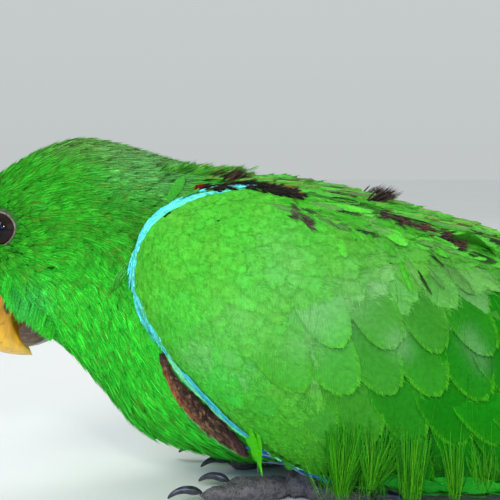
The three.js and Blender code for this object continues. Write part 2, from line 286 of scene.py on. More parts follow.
def set_points(mesh, points):
    mesh.vertices.foreach_set("co", points.astype(np.float32).ravel())
    mesh.update()


def unit(vectors):
    return vectors / np.maximum(np.linalg.norm(vectors, axis=-1, keepdims=True), 1e-12)


# Places tried on each square of surface whose side is the gap between two feathers
SCATTER_TRIES = 2.6


class Surface:
    """A mesh as a surface to root feathers in and lay them on."""

    def __init__(self, mesh):
        mesh.calc_loop_triangles()
        self.points = points_of(mesh)
        self.normals = normals_of(mesh)
        self.corners = read(mesh.loop_triangles, "vertices", 3, np.int32)
        self.tree = BVHTree.FromPolygons(self.points.tolist(), self.corners.tolist())

    def nearest(self, points):
        """Nearest place on the surface to each point, its smooth normal, and its triangle."""
        found = [self.tree.find_nearest(point) for point in points.tolist()]
        spots = np.array([spot[0] for spot in found])
        face = np.array([spot[2] for spot in found])
        a, b, c = (self.points[self.corners[face, k]] for k in range(3))
        area = np.linalg.norm(np.cross(b - a, c - a), axis=1) + 1e-15
        shares = [np.linalg.norm(np.cross(q - spots, r - spots), axis=1) / area
                  for q, r in ((b, c), (c, a), (a, b))]
        normal = sum(share[:, None] * self.normals[self.corners[face, k]] for k, share in enumerate(shares))
        return spots, unit(normal), face

    def scatter(self, spacing, seed, keep):
        """Random places at least a spacing apart: their points and normals."""
        rng = np.random.default_rng(seed)
        a, b, c = (self.points[self.corners[:, k]] for k in range(3))
        middle = (a + b + c) / 3
        wanted = keep(middle)
        area = np.linalg.norm(np.cross(b - a, c - a), axis=1) / 2
        gap = spacing(middle)
        weight = np.where(wanted, area / gap ** 2, 0)
        count = int(weight.sum() * SCATTER_TRIES)
        face = rng.choice(len(area), size=count, p=weight / weight.sum())
        s, t = rng.random(count), rng.random(count)
        s, t = np.where(s + t > 1, 1 - s, s), np.where(s + t > 1, 1 - t, t)
        spots = a[face] + (b - a)[face] * s[:, None] + (c - a)[face] * t[:, None]
        normal = sum(share[:, None] * self.normals[self.corners[face, k]]
                     for k, share in enumerate((1 - s - t, s, t)))
        gap = gap[face]
        cell = gap.max()
        grid, kept = {}, []
        cells = np.floor(spots / cell).astype(int).tolist()
        places, gaps = spots.tolist(), gap.tolist()
        near = [(i, j, k) for i in (-1, 0, 1) for j in (-1, 0, 1) for k in (-1, 0, 1)]
        for index, (x, y, z) in enumerate(places):
            i, j, k = cells[index]
            least = gaps[index] ** 2
            clear = True
            for di, dj, dk in near:
                for u, v, w in grid.get((i + di, j + dj, k + dk), ()):
                    if (u - x) ** 2 + (v - y) ** 2 + (w - z) ** 2 < least:
                        clear = False
                        break
                if not clear:
                    break
            if clear:
                grid.setdefault((i, j, k), []).append((x, y, z))
                kept.append(index)
        return spots[kept], unit(normal[kept])


SURFACES = {}


def node_surface(name):
    if name not in SURFACES:
        SURFACES[name] = Surface(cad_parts[name].data)
    return SURFACES[name]


def away_from(names, points):
    """Distance of each point from the nearest of some nodes."""
    reach = []
    for name in names:
        tree = node_surface(name).tree
        reach.append([tree.find_nearest(point)[3] for point in points.tolist()])
    return np.min(reach, axis=0)


# Where things are on the bird

def along_path(points, path):
    """Distance in side view from a path, signed positive to its right, and the share of it passed."""
    flat = points[:, [0, 2]]
    best = np.full(len(flat), 1e9)
    share = np.zeros(len(flat))
    sign = np.ones(len(flat))
    lengths = np.linalg.norm(np.diff(path, axis=0), axis=1)
    total, passed = lengths.sum(), 0.0
    for start, end, length in zip(path[:-1], path[1:], lengths):
        step = end - start
        t = np.clip(((flat - start) @ step) / length ** 2, 0, 1)
        offset = flat - start - t[:, None] * step
        distance = np.linalg.norm(offset, axis=1)
        closer = distance < best
        best = np.where(closer, distance, best)
        share = np.where(closer, (passed + t * length) / total, share)
        sign = np.where(closer, np.sign(step[0] * offset[:, 1] - step[1] * offset[:, 0]), sign)
        passed += length
    return best * sign, share


# Distance within which a station's pull is nearly even, and the power of the squared distance by which
# it falls further out
LIE_REACH, LIE_FALL = 4 * MM, -1.6


def lie_of(points, normals, stations, out):
    """Unit direction in which feathers lie at each point."""
    spots = np.array([place(px, py, out) for px, py, _ in stations])
    angles = np.radians([angle for *_, angle in stations])
    gaps = ((points[:, None, [0, 2]] - spots[None]) ** 2).sum(2) + LIE_REACH ** 2
    weights = gaps ** LIE_FALL
    angle = np.arctan2((weights * np.sin(angles)).sum(1), (weights * np.cos(angles)).sum(1))
    return flattened(np.stack([np.cos(angle), np.zeros(len(angle)), np.sin(angle)], 1), normals)


def flattened(way, normals):
    """A direction laid down on the surface and made one long."""
    return unit(way - normals * (way * normals).sum(1, keepdims=True))


def body_lie(points, normals):
    return lie_of(points, normals, BODY_LIE, BODY_OUT)


def wing_lie(points, normals):
    return lie_of(points, normals, WING_LIE, WING_OUT)


def rump_lie(points, normals):
    """The lie of the body's feathers, bent down over the end of the rump."""
    rearward = ramp(normals[:, 0], 0.3, 0.7) * ramp(points[:, 0], 40 * MM, 60 * MM)
    return unit(mix(body_lie(points, normals), (1.0, 0.0, -0.6), rearward))


def swaying(lie, turn):
    """A lie that each feather leaves a little to one side."""
    def way(points, up):
        ahead = lie(points, up)
        return unit(ahead + turn[:, None] * np.cross(up, ahead))
    return way


def blobs(points, patches, out):
    """Soft round patches of the side view, each given by its photo pixel, radius in pixels and strength."""
    share = 0
    for px, py, radius, strength in patches:
        x, z = place(px, py, out)
        away = (points[:, 0] - x) ** 2 + (points[:, 2] - z) ** 2
        share = share + strength * np.exp(-away / (radius * PIXEL) ** 2)[:, None]
    return share


def rise(values, low, high):
    """0 up to low, 1 from high on, and smooth between."""
    t = np.clip((values - low) / (high - low), 0, 1)
    return t * t * (3 - 2 * t)


def ramp(values, low, high):
    """Such a rise as a column, to weigh colours or points by."""
    return rise(values, low, high)[:, None]


def mix(first, second, share):
    return first * (1 - share) + np.asarray(second) * share


def painted(colour, *layers):
    """A colour with others laid over it, each by its share."""
    for over, share in layers:
        colour = mix(colour, over, share)
    return colour


def seen_at(px, py, surface):
    """Place and normal on a surface where a photo pixel's line of sight meets it."""
    across, up = float(px - PHOTO_CENTRE) * PIXEL, float(PHOTO_CENTRE - py) * PIXEL
    aim = AIM + Vector((across, up * math.sin(CAMERA_RISE), up * math.cos(CAMERA_RISE)))
    spot, normal, _, _ = surface.tree.ray_cast(CAMERA_PLACE, (aim - CAMERA_PLACE).normalized())
    return spot, normal


def wing_rim():
    """Side view path of the wing's rim: the first place inward of each edge pixel that is on the wing."""
    if "rim" not in SURFACES:
        start, step, tries = -6, 0.75, 40
        path = []
        for px, py in WING_EDGE:
            inward = unit(np.array(WING_MIDDLE) - (px, py))
            for number in range(tries):
                x, y = np.array([px, py]) + inward * (number * step + start)
                spot, _ = seen_at(x, y, node_surface("wing_left"))
                if spot is not None:
                    path.append((spot.x, spot.z))
                    break
        SURFACES["rim"] = np.array(path)
    return SURFACES["rim"]


EYE_AXIS = unit(np.array([-0.30, 1.0, 0.06]))


def eye_frame(side):
    """Centre of an eyeball, the way it looks, and its radius."""
    low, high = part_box("eye_" + side)
    centre = (Vector(low) + Vector(high)) / 2
    return np.array(centre), EYE_AXIS * np.array([1, SIDES[side], 1]), (high[1] - low[1]) / 2


def eye_parts(points, side):
    """Height of each point along the eye's axis, its offset across that axis, and the offset's length."""
    centre, axis, _ = eye_frame(side)
    offset = points - centre
    height = offset @ axis
    across = offset - height[:, None] * axis
    return height, across, np.linalg.norm(across, axis=1)


def eye_distances(points):
    """Distance of each point from the middle of each eye."""
    return [np.linalg.norm(points - eye_frame(side)[0], axis=1) for side in SIDES]


BILL_BASE = np.array([-146 * MM, 0, 62 * MM])


def from_bill(points):
    return np.linalg.norm(points - BILL_BASE, axis=1)


def gap_distance(points, gap):
    """Distance of each point, on either side of the bird, from a line given in photo pixels."""
    if gap[0] not in SURFACES:
        seen = [seen_at(px, py, SKIN.guide)[0] for px, py in gap]
        SURFACES[gap[0]] = np.array([spot for spot in seen if spot is not None])
    path = SURFACES[gap[0]]
    spots = points.copy()
    spots[:, 1] = -np.abs(spots[:, 1])
    reach = np.full(len(points), 1e9)
    for start, end in zip(path[:-1], path[1:]):
        step = end - start
        t = np.clip(((spots - start) @ step) / (step @ step), 0, 1)
        reach = np.minimum(reach, np.linalg.norm(spots - start - t[:, None] * step, axis=1))
    return reach


def body_colours(points):
    """Colour of a body feather's vane and of its rim at each point."""
    c = bpy.context.scene.parrot_colours
    x, z = points[:, 0], points[:, 2]
    low_head = ramp(place(0, 235)[1] - z + 0.25 * (x + 0.13), 0, 22 * MM)
    vane = painted(
        np.array(c.head),
        (c.throat, low_head),
        (c.belly, ramp(x, -88 * MM, -60 * MM) * ramp(46 * MM - z, 0, 25 * MM)),
        (c.back, ramp(x, -86 * MM, -60 * MM) * ramp(z, 50 * MM, 70 * MM)),
        (c.back, 0.75 * ramp(x, 20 * MM, 60 * MM)),
        (linear(122, 132, 92), 0.72 * (ramp(z, 98 * MM, 108 * MM) * ramp(-x, 70 * MM, 95 * MM))),
        # painted sheen on the nape
        (c.nape, 0.5 * blobs(points, NAPE_SHEEN, PATCH_OUT).clip(0, 1)),
        # head patches, among them painted shade on the neck before the wing's edge
        *((linear(*colour), blobs(points, patches, PATCH_OUT)) for colour, patches in HEAD_PATCHES))
    rim = mix(vane, linear(88, 214, 60), 0.35)
    # Painted shade: darker green along the shoulder line, where the wing meets the back
    shoulder = 1 - ramp(gap_distance(points, SHOULDER_LINE), 3 * MM, 6 * MM)
    vane = mix(vane, linear(34, 74, 26), 0.6 * shoulder)
    # In the gaps between shoulder and wing the colours go dark brown, partly dark down and partly painted
    # shade
    for gap in BACK_GAPS:
        dark = 1 - ramp(gap_distance(points, gap), 1.2 * MM, 2.6 * MM)
        vane, rim = mix(vane, c.down, dark), mix(rim, linear(80, 48, 36), dark)
    return vane, rim


def wing_sheen(points):
    """Share of painted sheen, a greyish reflection of the light, at each point of the wing."""
    return blobs(points, WING_SHEEN, WING_OUT).clip(0, 1)


def large_zone(points, tips):
    """Share of feathers, from their roots and tips, that lie where single large coverts cover the rest."""
    px, py = pixel_of(points)
    return ramp(px, *LARGE_LEFT) * ramp(py, *LARGE_TOP) * (1 - ramp(pixel_of(tips)[0], *LARGE_RIGHT))


def wing_colours(points, sheen=0.42):
    """Colour of a wing feather's vane and of its rim at each point."""
    c = bpy.context.scene.parrot_colours
    x, z = points[:, 0], points[:, 2]
    lower_right = ramp(x - z, -112 * MM, -56 * MM)
    wave = 0.5 + 0.5 * np.sin(x * 330 + 2.1 * np.sin(z * 240)) * np.sin(z * 290 + 1.7 * np.sin(x * 260))
    vane = painted(
        np.array(c.wing),
        (linear(72, 158, 54), ramp(x - z, -150 * MM, -112 * MM)),
        (c.wing_deep, lower_right),
        (linear(104, 160, 48), 0.34 * wave[:, None] * (1 - lower_right)),
        *((linear(*colour), blobs(points, patches, WING_OUT)) for colour, patches in WING_PATCHES),
        # painted sheen: greyish patches where light glances off the wing
        (c.painted_sheen, sheen * wing_sheen(points) * (1 - large_zone(points, points))))
    rim = mix(vane, c.wing_fringe, 0.24 + 0.3 * lower_right)
    rear = ramp(x, 15 * MM, 60 * MM)
    return mix(vane, linear(24, 120, 40), 0.6 * rear), mix(rim, linear(40, 146, 46), 0.7 * rear)


# Patterns of feathers: points as across, along and height, with a tone and a barb number

class Pattern:
    """One feather drawn flat in its own millimetres, to be laid many times."""

    def __init__(self, length, half_width):
        self.length, self.half_width = length, half_width
        self.points, self.faces, self.tone, self.barb = [], [], [], []
        self.barbs = 1

    def add(self, point, tone, barb=0):
        self.points.append(point)
        self.tone.append(tone)
        self.barb.append(barb)

    def sheet(self, stations, half_at, height_at, tone_at, columns):
        """The closed vane, in rows from root to tip."""
        start = len(self.points)
        for along in stations:
            half = half_at(along)
            for column in range(columns + 1):
                across = 2 * column / columns - 1
                self.add((across * half, along * self.length, height_at(across, along)),
                         tone_at(abs(across), along))
        for row in range(len(stations) - 1):
            for column in range(columns):
                a = start + row * (columns + 1) + column
                b = a + columns + 1
                self.faces += [(a, a + 1, b + 1), (a, b + 1, b)]

    def strand(self, path, width, roll, tones):
        """One loose barb: a ribbon that narrows to a point."""
        start, last = len(self.points), len(path) - 1
        for k, (x, y, h) in enumerate(path):
            ahead = np.subtract(path[min(k + 1, last)], path[max(k - 1, 0)])
            size = math.hypot(ahead[0], ahead[1]) or 1
            tone = tones[0] + (tones[1] - tones[0]) * k / last
            if k == last:
                self.add((x, y, h), tone, self.barbs)
                break
            half = width / 2 * (1 - 0.35 * k / last)
            side = (ahead[1] / size * half, -ahead[0] / size * half)
            for sign in (-1, 1):
                self.add((x + sign * side[0], y + sign * side[1], h + sign * roll * half), tone, self.barbs)
        for k in range(last - 1):
            a = start + 2 * k
            self.faces += [(a, a + 1, a + 3), (a, a + 3, a + 2)]
        a = start + 2 * (last - 1)
        self.faces.append((a, a + 1, a + 2))
        self.barbs += 1

    def arrays(self):
        points = np.array(self.points)
        points[:, 0] /= self.half_width
        points[:, 1] /= self.length
        return points, np.array(self.faces), np.array(self.tone), np.array(self.barb)


def tuft_pattern(rng, length, half_width, barbs, width, lift=0.3):
    """Soft small feather: a short dark vane under loose barbs."""
    pattern = Pattern(length, half_width)
    steps = 3
    profile = {0: 0.25, 0.35: 0.8, 0.66: 0.75, 0.86: 0.2}
    pattern.sheet(list(profile), lambda t: profile[t] * half_width,
                  lambda u, t: -0.12 - 0.25 * u * u * half_width * 0.5, lambda u, t: 0.3, 2)
    for number in range(barbs):
        side = 2 * (number + rng.uniform(0.2, 0.8)) / barbs - 1
        start = length * rng.uniform(0.02, 0.3)
        end = length * rng.uniform(0.78, 1.1) * (1 - 0.22 * side * side)
        reach = side * half_width * rng.uniform(0.85, 1.25)
        bend = rng.normal(0, 0.16) * half_width
        high = rng.uniform(-0.02, 1) * lift
        path = []
        for k in range(steps + 1):
            s = k / steps
            path.append((reach * (0.3 + 0.7 * s ** 1.4) + bend * math.sin(math.pi * s),
                         start + (end - start) * s,
                         high * (0.4 + 0.6 * s) - 0.2 * abs(side) * half_width * 0.4))
        pattern.strand(path, width * rng.uniform(0.75, 1.2), rng.normal(0, 0.5), (0.25, 1.0))
    return pattern


def vane_pattern(rng, length, half_width, fringe, fringe_length, width, rows=6, columns=4, roundness=0.62,
                 narrow=0.3, camber=0.2, splits=0, wear=True, pointed=False):
    """Firm feather: a cambered vane with a shaft, rimmed by the free ends of its barbs."""
    pattern = Pattern(length, half_width)
    closing, blunt = (1.0, 0.9) if pointed else (2.2, 0.5)
    widest, fringe_from, steps = 0.42, 0.34, 2

    def tone_at(u, t):
        return 0.15 * t + 0.45 * u ** 3 * t + 0.3 * t ** 6 if wear else 0.16 * u ** 3 * t + 0.12 * t ** 8

    def half_at(t):
        swell = min(1, narrow + (1 - narrow) * (t / widest) ** 0.8) if t < widest else 1
        close = max(0.0, 1 - (max(0.0, t - roundness) / (1 - roundness)) ** closing) ** blunt
        return half_width * swell * close

    def height_at(u, t):
        ridge = 0.10 * max(0.0, 1 - abs(u) * 4) * (1 - 0.7 * t)
        return ridge - camber * half_width * u * u * (0.6 + 0.4 * t)

    stations = [(row / rows) ** 0.85 * 0.995 for row in range(rows + 1)]
    pattern.sheet(stations, half_at, height_at, tone_at, columns)
    for number in range(fringe):
        turn = 2 * (number + rng.uniform(0.3, 0.7)) / fringe - 1
        t = fringe_from + (0.99 - fringe_from) * (1 - abs(turn) ** 1.5)
        side = math.copysign(1, turn)
        half = half_at(t)
        lean = math.radians(46) * min(1, abs(turn) * 1.6 + 0.1) * side
        size = fringe_length * rng.uniform(0.55, 1.25)
        root = (side * half * 0.93 if abs(turn) > 0.12 else turn * half_width * 1.6, (t - 0.012) * length)
        curl = rng.normal(0, 0.18)
        path = []
        for k in range(steps + 1):
            s = k / steps
            way = lean + curl * s - 0.35 * side * s
            path.append((root[0] + math.sin(way) * size * (s - 0.35),
                         root[1] + math.cos(way) * size * (s - 0.35),
                         0.05 - camber * half_width * (root[0] / half_width) ** 2 + rng.uniform(0, 0.12) * s))
        pattern.strand(path, width * rng.uniform(0.8, 1.2), rng.normal(0, 0.3), (0.55, 1.0))
    for number in range(splits):
        side = rng.choice((-1, 1))
        t = rng.uniform(0.15, 0.7)
        size = length * rng.uniform(0.25, 0.4)
        path = [(side * half_width * (0.15 + 0.75 * s), (t + s * size / length * 0.8) * length,
                 0.14 - camber * half_width * s * s) for s in (0, 0.4, 0.75, 1)]
        pattern.strand(path, width, rng.normal(0, 0.5), (0.15, 0.55))
    return pattern


# Laying feathers

class Plan:
    """Feathers to lay: where each is rooted, how it runs, its size and its colours."""

    def __init__(self, roots, normals, way_at, length, half_width, depth, lift, surface, steps=5, free=0.45):
        self.length, self.half_width = length, half_width
        self.steps = steps
        points, normal = roots.copy(), normals.copy()
        centres, ups, ways = [points], [normal], []
        for _ in range(steps):
            way = way_at(points, normal)
            ahead = points + way * (length / steps)[:, None]
            found, found_normal, _ = surface.nearest(ahead)
            off = np.linalg.norm(found - ahead, axis=1) > free * length / steps
            points = np.where(off[:, None], ahead, found)
            normal = np.where(off[:, None], normal, unit(found_normal + normal))
            centres.append(points)
            ups.append(normal)
            ways.append(way)
        ways.append(ways[-1])
        self.centres = np.stack(centres, 1)
        self.ups = np.stack(ups, 1)
        ways = np.stack(ways, 1)
        self.sides = unit(np.cross(ways, self.ups))
        share = np.linspace(0, 1, steps + 1)[None, :, None]
        raised = -depth[:, None, None] * (1 - share) + lift[:, None, None] * share
        self.centres = self.centres + self.ups * raised
        self.roots = roots

    def pick(self, chosen):
        part = object.__new__(Plan)
        for key, value in self.__dict__.items():
            part.__dict__[key] = value if key == "steps" else value[chosen]
        return part


def lay(plan, patterns, vane, rim, seed, barb_spread=0.16, feather_spread=0.10, flecks=None, patch=0.003,
        wash=None):
    """All the feathers of a plan as one set of arrays; a wash colours them by where each point lies."""
    rng = np.random.default_rng(seed)
    choice = rng.integers(0, len(patterns), len(plan.roots))
    base = SKIN.patch_centres(plan.roots)
    out = {"points": [], "faces": [], "tint": [], "grain": [], "patch": []}
    offset = 0
    for index, pattern in enumerate(patterns):
        chosen = np.nonzero(choice == index)[0]
        if not len(chosen):
            continue
        flat, faces, tone, barb = pattern.arrays()
        along = np.clip(flat[:, 1], 0, None) * plan.steps
        low = np.minimum(along.astype(int), plan.steps - 1)
        share = (along - low)[None, :, None]

        def between(rows):
            rows = rows[chosen]
            return rows[:, low] * (1 - share) + rows[:, low + 1] * share

        width = plan.half_width[chosen][:, None, None]
        length = plan.length[chosen][:, None, None]
        points = (between(plan.centres) + between(plan.sides) * (flat[None, :, :1] * width)
                  + between(plan.ups) * (flat[None, :, 2:] * MM))
        tint = mix(vane[chosen][:, None, :], rim[chosen][:, None, :], tone[None, :, None])
        shade = np.exp(rng.normal(0, barb_spread, (len(chosen), pattern.barbs)))
        shade[:, 0] = 1
        tint = tint * shade[:, barb][:, :, None] * np.exp(rng.normal(0, feather_spread, (len(chosen), 1, 1)))
        if flecks is not None:
            fleck = rng.random((len(chosen), pattern.barbs)) < flecks[1]
            tint = np.where(fleck[:, barb][:, :, None], tint * 0.45 + 0.55 * np.array(flecks[0]), tint)
        if wash:
            share, colour = wash(points.reshape(-1, 3))
            tint = mix(tint.reshape(-1, 3), colour, share).reshape(tint.shape)
        grain = np.concatenate([flat[None, :, :1] * width, flat[None, :, 1:2] * length], 2) / MM
        spread = np.stack([flat[:, 0].clip(-1, 1) / 2, flat[:, 1].clip(0, 1) - 0.5], 1)[None] * patch
        out["points"].append(points.reshape(-1, 3))
        out["tint"].append(tint.reshape(-1, 3))
        out["grain"].append(grain.reshape(-1, 2))
        out["patch"].append((base[chosen][:, None, :] + spread).reshape(-1, 2))
        starts = offset + len(flat) * np.arange(len(chosen))
        out["faces"].append((faces[None] + starts[:, None, None]).reshape(-1, 3))
        offset += len(flat) * len(chosen)
    return {key: np.concatenate(parts) for key, parts in out.items()}


def joined_arrays(sets):
    start, faces = 0, []
    for one in sets:
        faces.append(one["faces"] + start)
        start += len(one["points"])
    whole = {key: np.concatenate([one[key] for one in sets]) for key in sets[0] if key != "faces"}
    whole["faces"] = np.concatenate(faces)
    return whole


def tint_points(mesh, colours):
    rgba = np.concatenate([colours, np.ones((len(colours), 1))], 1).astype(np.float32)
    mesh.attributes.new("tint", "FLOAT_COLOR", "POINT").data.foreach_set("color", rgba.ravel())


def build_piece(name, arrays, material, slot, replaced=()):
    """A new piece from arrays, riding on the bird, with its tint, grain and patch maps."""
    faces = arrays["faces"]
    points = arrays["points"].copy()
    points[:, 2] = np.maximum(points[:, 2], FLOOR_CLEARANCE)
    mesh = bpy.data.meshes.new(name)
    mesh.vertices.add(len(points))
    mesh.vertices.foreach_set("co", points.astype(np.float32).ravel())
    mesh.loops.add(faces.size)
    mesh.loops.foreach_set("vertex_index", faces.astype(np.int32).ravel())
    mesh.polygons.add(len(faces))
    mesh.polygons.foreach_set("loop_start", np.arange(0, faces.size, 3, dtype=np.int32))
    mesh.update(calc_edges=True)
    for layer, key in (("OFBake", "patch"), ("grain", "grain")):
        values = arrays[key][faces.ravel()].astype(np.float32)
        mesh.uv_layers.new(name=layer).data.foreach_set("uv", values.ravel())
    tint_points(mesh, arrays["tint"].clip(0, 1))
    mesh.shade_smooth()
    piece = bpy.data.objects.new(name, mesh)
    bpy.context.scene.collection.objects.link(piece)
    mesh.materials.append(material)
    settle(piece, slot, replaced)


def settle(piece, slot, replaced=()):
    """A piece set in place: it rides on the root and hides the nodes it replaces. Its slot is not used."""
    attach(piece, "root")
    if replaced:
        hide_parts(*replaced)


# Finishes

class Finish:
    """A material and short ways to add its nodes."""

    def __init__(self, name, **constants):
        self.material = bpy.data.materials.new(name)
        self.material.use_nodes = True
        self.tree = self.material.node_tree
        self.tree.nodes.clear()
        self.shader = self.tree.nodes.new("ShaderNodeBsdfPrincipled")
        output = self.tree.nodes.new("ShaderNodeOutputMaterial")
        self.tree.links.new(self.shader.outputs["BSDF"], output.inputs["Surface"])
        for socket, value in constants.items():
            self.shader.inputs[socket.replace("_", " ")].default_value = value

    def add(self, kind, settings=None, **inputs):
        node = self.tree.nodes.new("ShaderNode" + kind)
        for key, value in (settings or {}).items():
            setattr(node, key, value)
        for key, value in inputs.items():
            self.feed(node.inputs[int(key[1:]) if key[0] == "i" and key[1:].isdigit() else key], value)
        return node

    def feed(self, socket, value):
        if isinstance(value, bpy.types.NodeSocket):
            self.tree.links.new(value, socket)
        elif isinstance(value, tuple) and len(value) == 3 and socket.type == "RGBA":
            socket.default_value = (*value, 1)
        else:
            socket.default_value = value

    def maths(self, operation, first, second=0.0):
        return self.add("Math", {"operation": operation}, i0=first, i1=second).outputs[0]

    def blend(self, kind, share, first, second):
        node = self.add("Mix", {"data_type": "RGBA", "blend_type": kind})
        self.feed(node.inputs[0], share)
        self.feed(node.inputs[6], first)
        self.feed(node.inputs[7], second)
        return node.outputs[2]

    def ramp(self, share, *stops):
        node = self.add("ValToRGB", Fac=share)
        elements = node.color_ramp.elements
        while len(elements) < len(stops):
            elements.new(0.5)
        for element, (position, colour) in zip(elements, stops):
            element.position = position
            element.color = (*colour, 1)
        return node.outputs[0]

    def noise(self, scale, detail=3.0, vector=None):
        node = self.add("TexNoise", Scale=scale, Detail=detail, Roughness=0.55)
        self.feed(node.inputs["Vector"], vector or self.add("TexCoord").outputs["Object"])
        return node.outputs["Fac"]

    def scaled(self, low, high, value):
        node = self.add("MapRange", Value=value)
        node.inputs["To Min"].default_value = low
        node.inputs["To Max"].default_value = high
        return node.outputs[0]

    def colour(self, value):
        self.feed(self.shader.inputs["Base Color"], value)

    def roughness(self, low, high, value):
        self.feed(self.shader.inputs["Roughness"], self.scaled(low, high, value))

    def bump(self, height, strength, distance):
        node = self.add("Bump", Height=height, Strength=strength, Distance=distance)
        self.feed(self.shader.inputs["Normal"], node.outputs[0])


def feather_finish(name, barb_gap, barb_slope, line_strength, roughness, bump_strength):
    """Feather colour from the tint, broken by fine barb lines that run out from the shaft."""
    f = Finish(name, Specular_IOR_Level=0.06)
    tint = f.add("Attribute", {"attribute_name": "tint"}).outputs["Color"]
    grain = f.add("UVMap", {"uv_map": "grain"}).outputs[0]
    split = f.add("SeparateXYZ", Vector=grain)
    outward = f.maths("MULTIPLY", f.maths("ABSOLUTE", split.outputs["X"]), barb_slope)
    wander = f.scaled(-0.35, 0.35, f.noise(260, 2.0))
    lines = f.maths("ADD", f.maths("SUBTRACT", split.outputs["Y"], outward), wander)
    wave = f.maths("SINE", f.maths("MULTIPLY", lines, 2 * math.pi / barb_gap))
    fine = f.noise(900, 2.0)
    share = f.maths("ADD", f.maths("MULTIPLY", wave, 0.5), 0.5)
    shade = f.ramp(share, (0, (0.42, 0.5, 0.42)), (1, (1.12, 1.1, 1.1)))
    mottle = f.ramp(fine, (0.3, (0.72, 0.74, 0.72)), (0.7, (1.25, 1.22, 1.2)))
    f.colour(f.blend("MULTIPLY", 0.55, f.blend("MULTIPLY", line_strength, tint, shade), mottle))
    f.roughness(roughness - 0.08, roughness + 0.1, fine)
    f.bump(wave, bump_strength, 0.06 * MM)
    return f.material


FINISHES = {}


def finish(name, maker):
    if name not in FINISHES:
        FINISHES[name] = maker()
    return FINISHES[name]


def soft_finish():
    return finish("soft feathers", lambda: feather_finish("soft feathers", 0.9, 1.0, 0.25, 0.6, 0.3))


def firm_finish():
    return finish("firm feathers", lambda: feather_finish("firm feathers", 0.8, 1.5, 0.3, 0.5, 0.35))


def skin_finish():
    f = Finish("skin and down", Roughness=0.85, Specular_IOR_Level=0.15)
    tint = f.add("Attribute", {"attribute_name": "tint"}).outputs["Color"]
    flecks = f.noise(700, 4.0)
    f.colour(f.blend("MULTIPLY", 0.9, tint, f.ramp(flecks, (0.3, (0.3, 0.3, 0.3)), (0.7, (0.8, 0.8, 0.8)))))
    f.bump(flecks, 0.6, 0.3 * MM)
    return f.material


# The skin

class Skin:
    """The guide surface at the coat's outer face, and the skin under it with its unwrap."""

    guide = under = patches = None

    def patch_centres(self, points):
        _, _, face = self.under.nearest(points)
        return self.patches[face]

SKIN = Skin()


def coat_depth(points):
    """How far the skin lies under the coat's outer face."""
    depth = mix(2.0 * MM, 4.0 * MM, ramp(points[:, 0], -128 * MM, -92 * MM))
    depth = mix(0.7 * MM, depth, ramp(from_bill(points), 14 * MM, 26 * MM))
    for away in eye_distances(points):
        depth = mix(0.5 * MM, depth, ramp(away, 6 * MM, 13 * MM))
    depth = mix(1.5 * MM, depth, ramp(away_from(WINGS, points), 0.5 * MM, 5 * MM))
    return mix(1.6 * MM, depth, ramp(away_from(THIGHS, points), 0.5 * MM, 6 * MM))[:, 0]


def lid_height(ball, lid):
    """How far out from the eyeball's middle the lid's edge meets it."""
    return math.sqrt(ball ** 2 - lid ** 2)


def shape_lids(points):
    """Skin drawn back from the eyeballs, with a low fold round each."""
    lid = bpy.context.scene.parrot_sizes.lid
    inner = lid - 0.4 * MM
    for side in SIDES:
        centre, axis, ball = eye_frame(side)
        height, across, radius = eye_parts(points, side)
        near = (radius < lid + 4 * MM) & (height > -1 * MM)
        sunk = np.sqrt(np.clip((ball - 1.1 * MM) ** 2 - radius ** 2, 0, None))
        fold = lid_height(ball, lid) + 0.05 * MM - 0.45 * (radius - lid)
        target = np.where(radius < inner, sunk, fold)
        share = np.where(radius < inner, 1.0, 1 - rise(radius, lid + 0.4 * MM, lid + 2.4 * MM))
        moved = centre + across + mix(height, target, share)[:, None] * axis
        points = np.where(near[:, None], moved, points)
    return points


class PARROT_OT_skin(Operator):
    """Make the one skin of head, neck, trunk, thighs and wings, and the surface the coat lies on"""
    bl_idname = "parrot.skin"
    bl_label = "Skin"

    def execute(self, context):
        piece = copy_of(FLESH + ["eye_left", "eye_right"], "skin", swell=0.22 * MM)
        remesh(piece, context.scene.parrot_sizes.skin_grain, 7)
        mesh = piece.data
        SKIN.guide = Surface(mesh)
        points = points_of(mesh)
        set_points(mesh, shape_lids(points - SKIN.guide.normals * coat_depth(points)[:, None]))
        wing = on_wings(points, 0.7 * MM)[:, None]
        # The skin takes the colours of the coat over it, darkened to 0.55: painted shade where it shows
        # between the feathers
        tint = np.where(wing, wing_colours(points)[0], body_colours(points)[0]) * 0.55
        bare = np.zeros((len(points), 1))
        for away in eye_distances(points):
            bare = np.maximum(bare, 1 - ramp(away, 6.4 * MM, 6.8 * MM))
        tint_points(mesh, mix(tint, linear(96, 92, 78), bare))
        use(piece)
        bpy.ops.object.mode_set(mode="EDIT")
        bpy.ops.mesh.select_all(action="SELECT")
        bpy.ops.uv.smart_project(angle_limit=math.radians(66), island_margin=0.001)
        bpy.ops.object.mode_set(mode="OBJECT")
        mesh.uv_layers[0].name = "OFBake"
        SKIN.under = Surface(mesh)
        loops = read(mesh.loop_triangles, "loops", 3, np.int32)
        SKIN.patches = read(mesh.uv_layers["OFBake"].data, "uv", 2)[loops].mean(1)
        mesh.materials.append(finish("skin", skin_finish))
        settle(piece, "plumage", FLESH)
        return {"FINISHED"}


# Soft coat

def near_eye(points, reach):
    """True in front of an eyeball, within some reach of its axis."""
    close = np.zeros(len(points), dtype=bool)
    for side in SIDES:
        height, _, radius = eye_parts(points, side)
        close |= (radius < reach) & (height > 0)
    return close


def on_wings(points, reach=0.9 * MM):
    return away_from(WINGS, points) < reach


def is_soft(points):
    """Head, neck, breast and fore belly, which carry loose barbed tufts."""
    x, z = points[:, 0], points[:, 2]
    front = x + 0.55 * (z - 50 * MM) * (z < 50 * MM)
    return front < -78 * MM + 14 * MM * (z < 30 * MM)


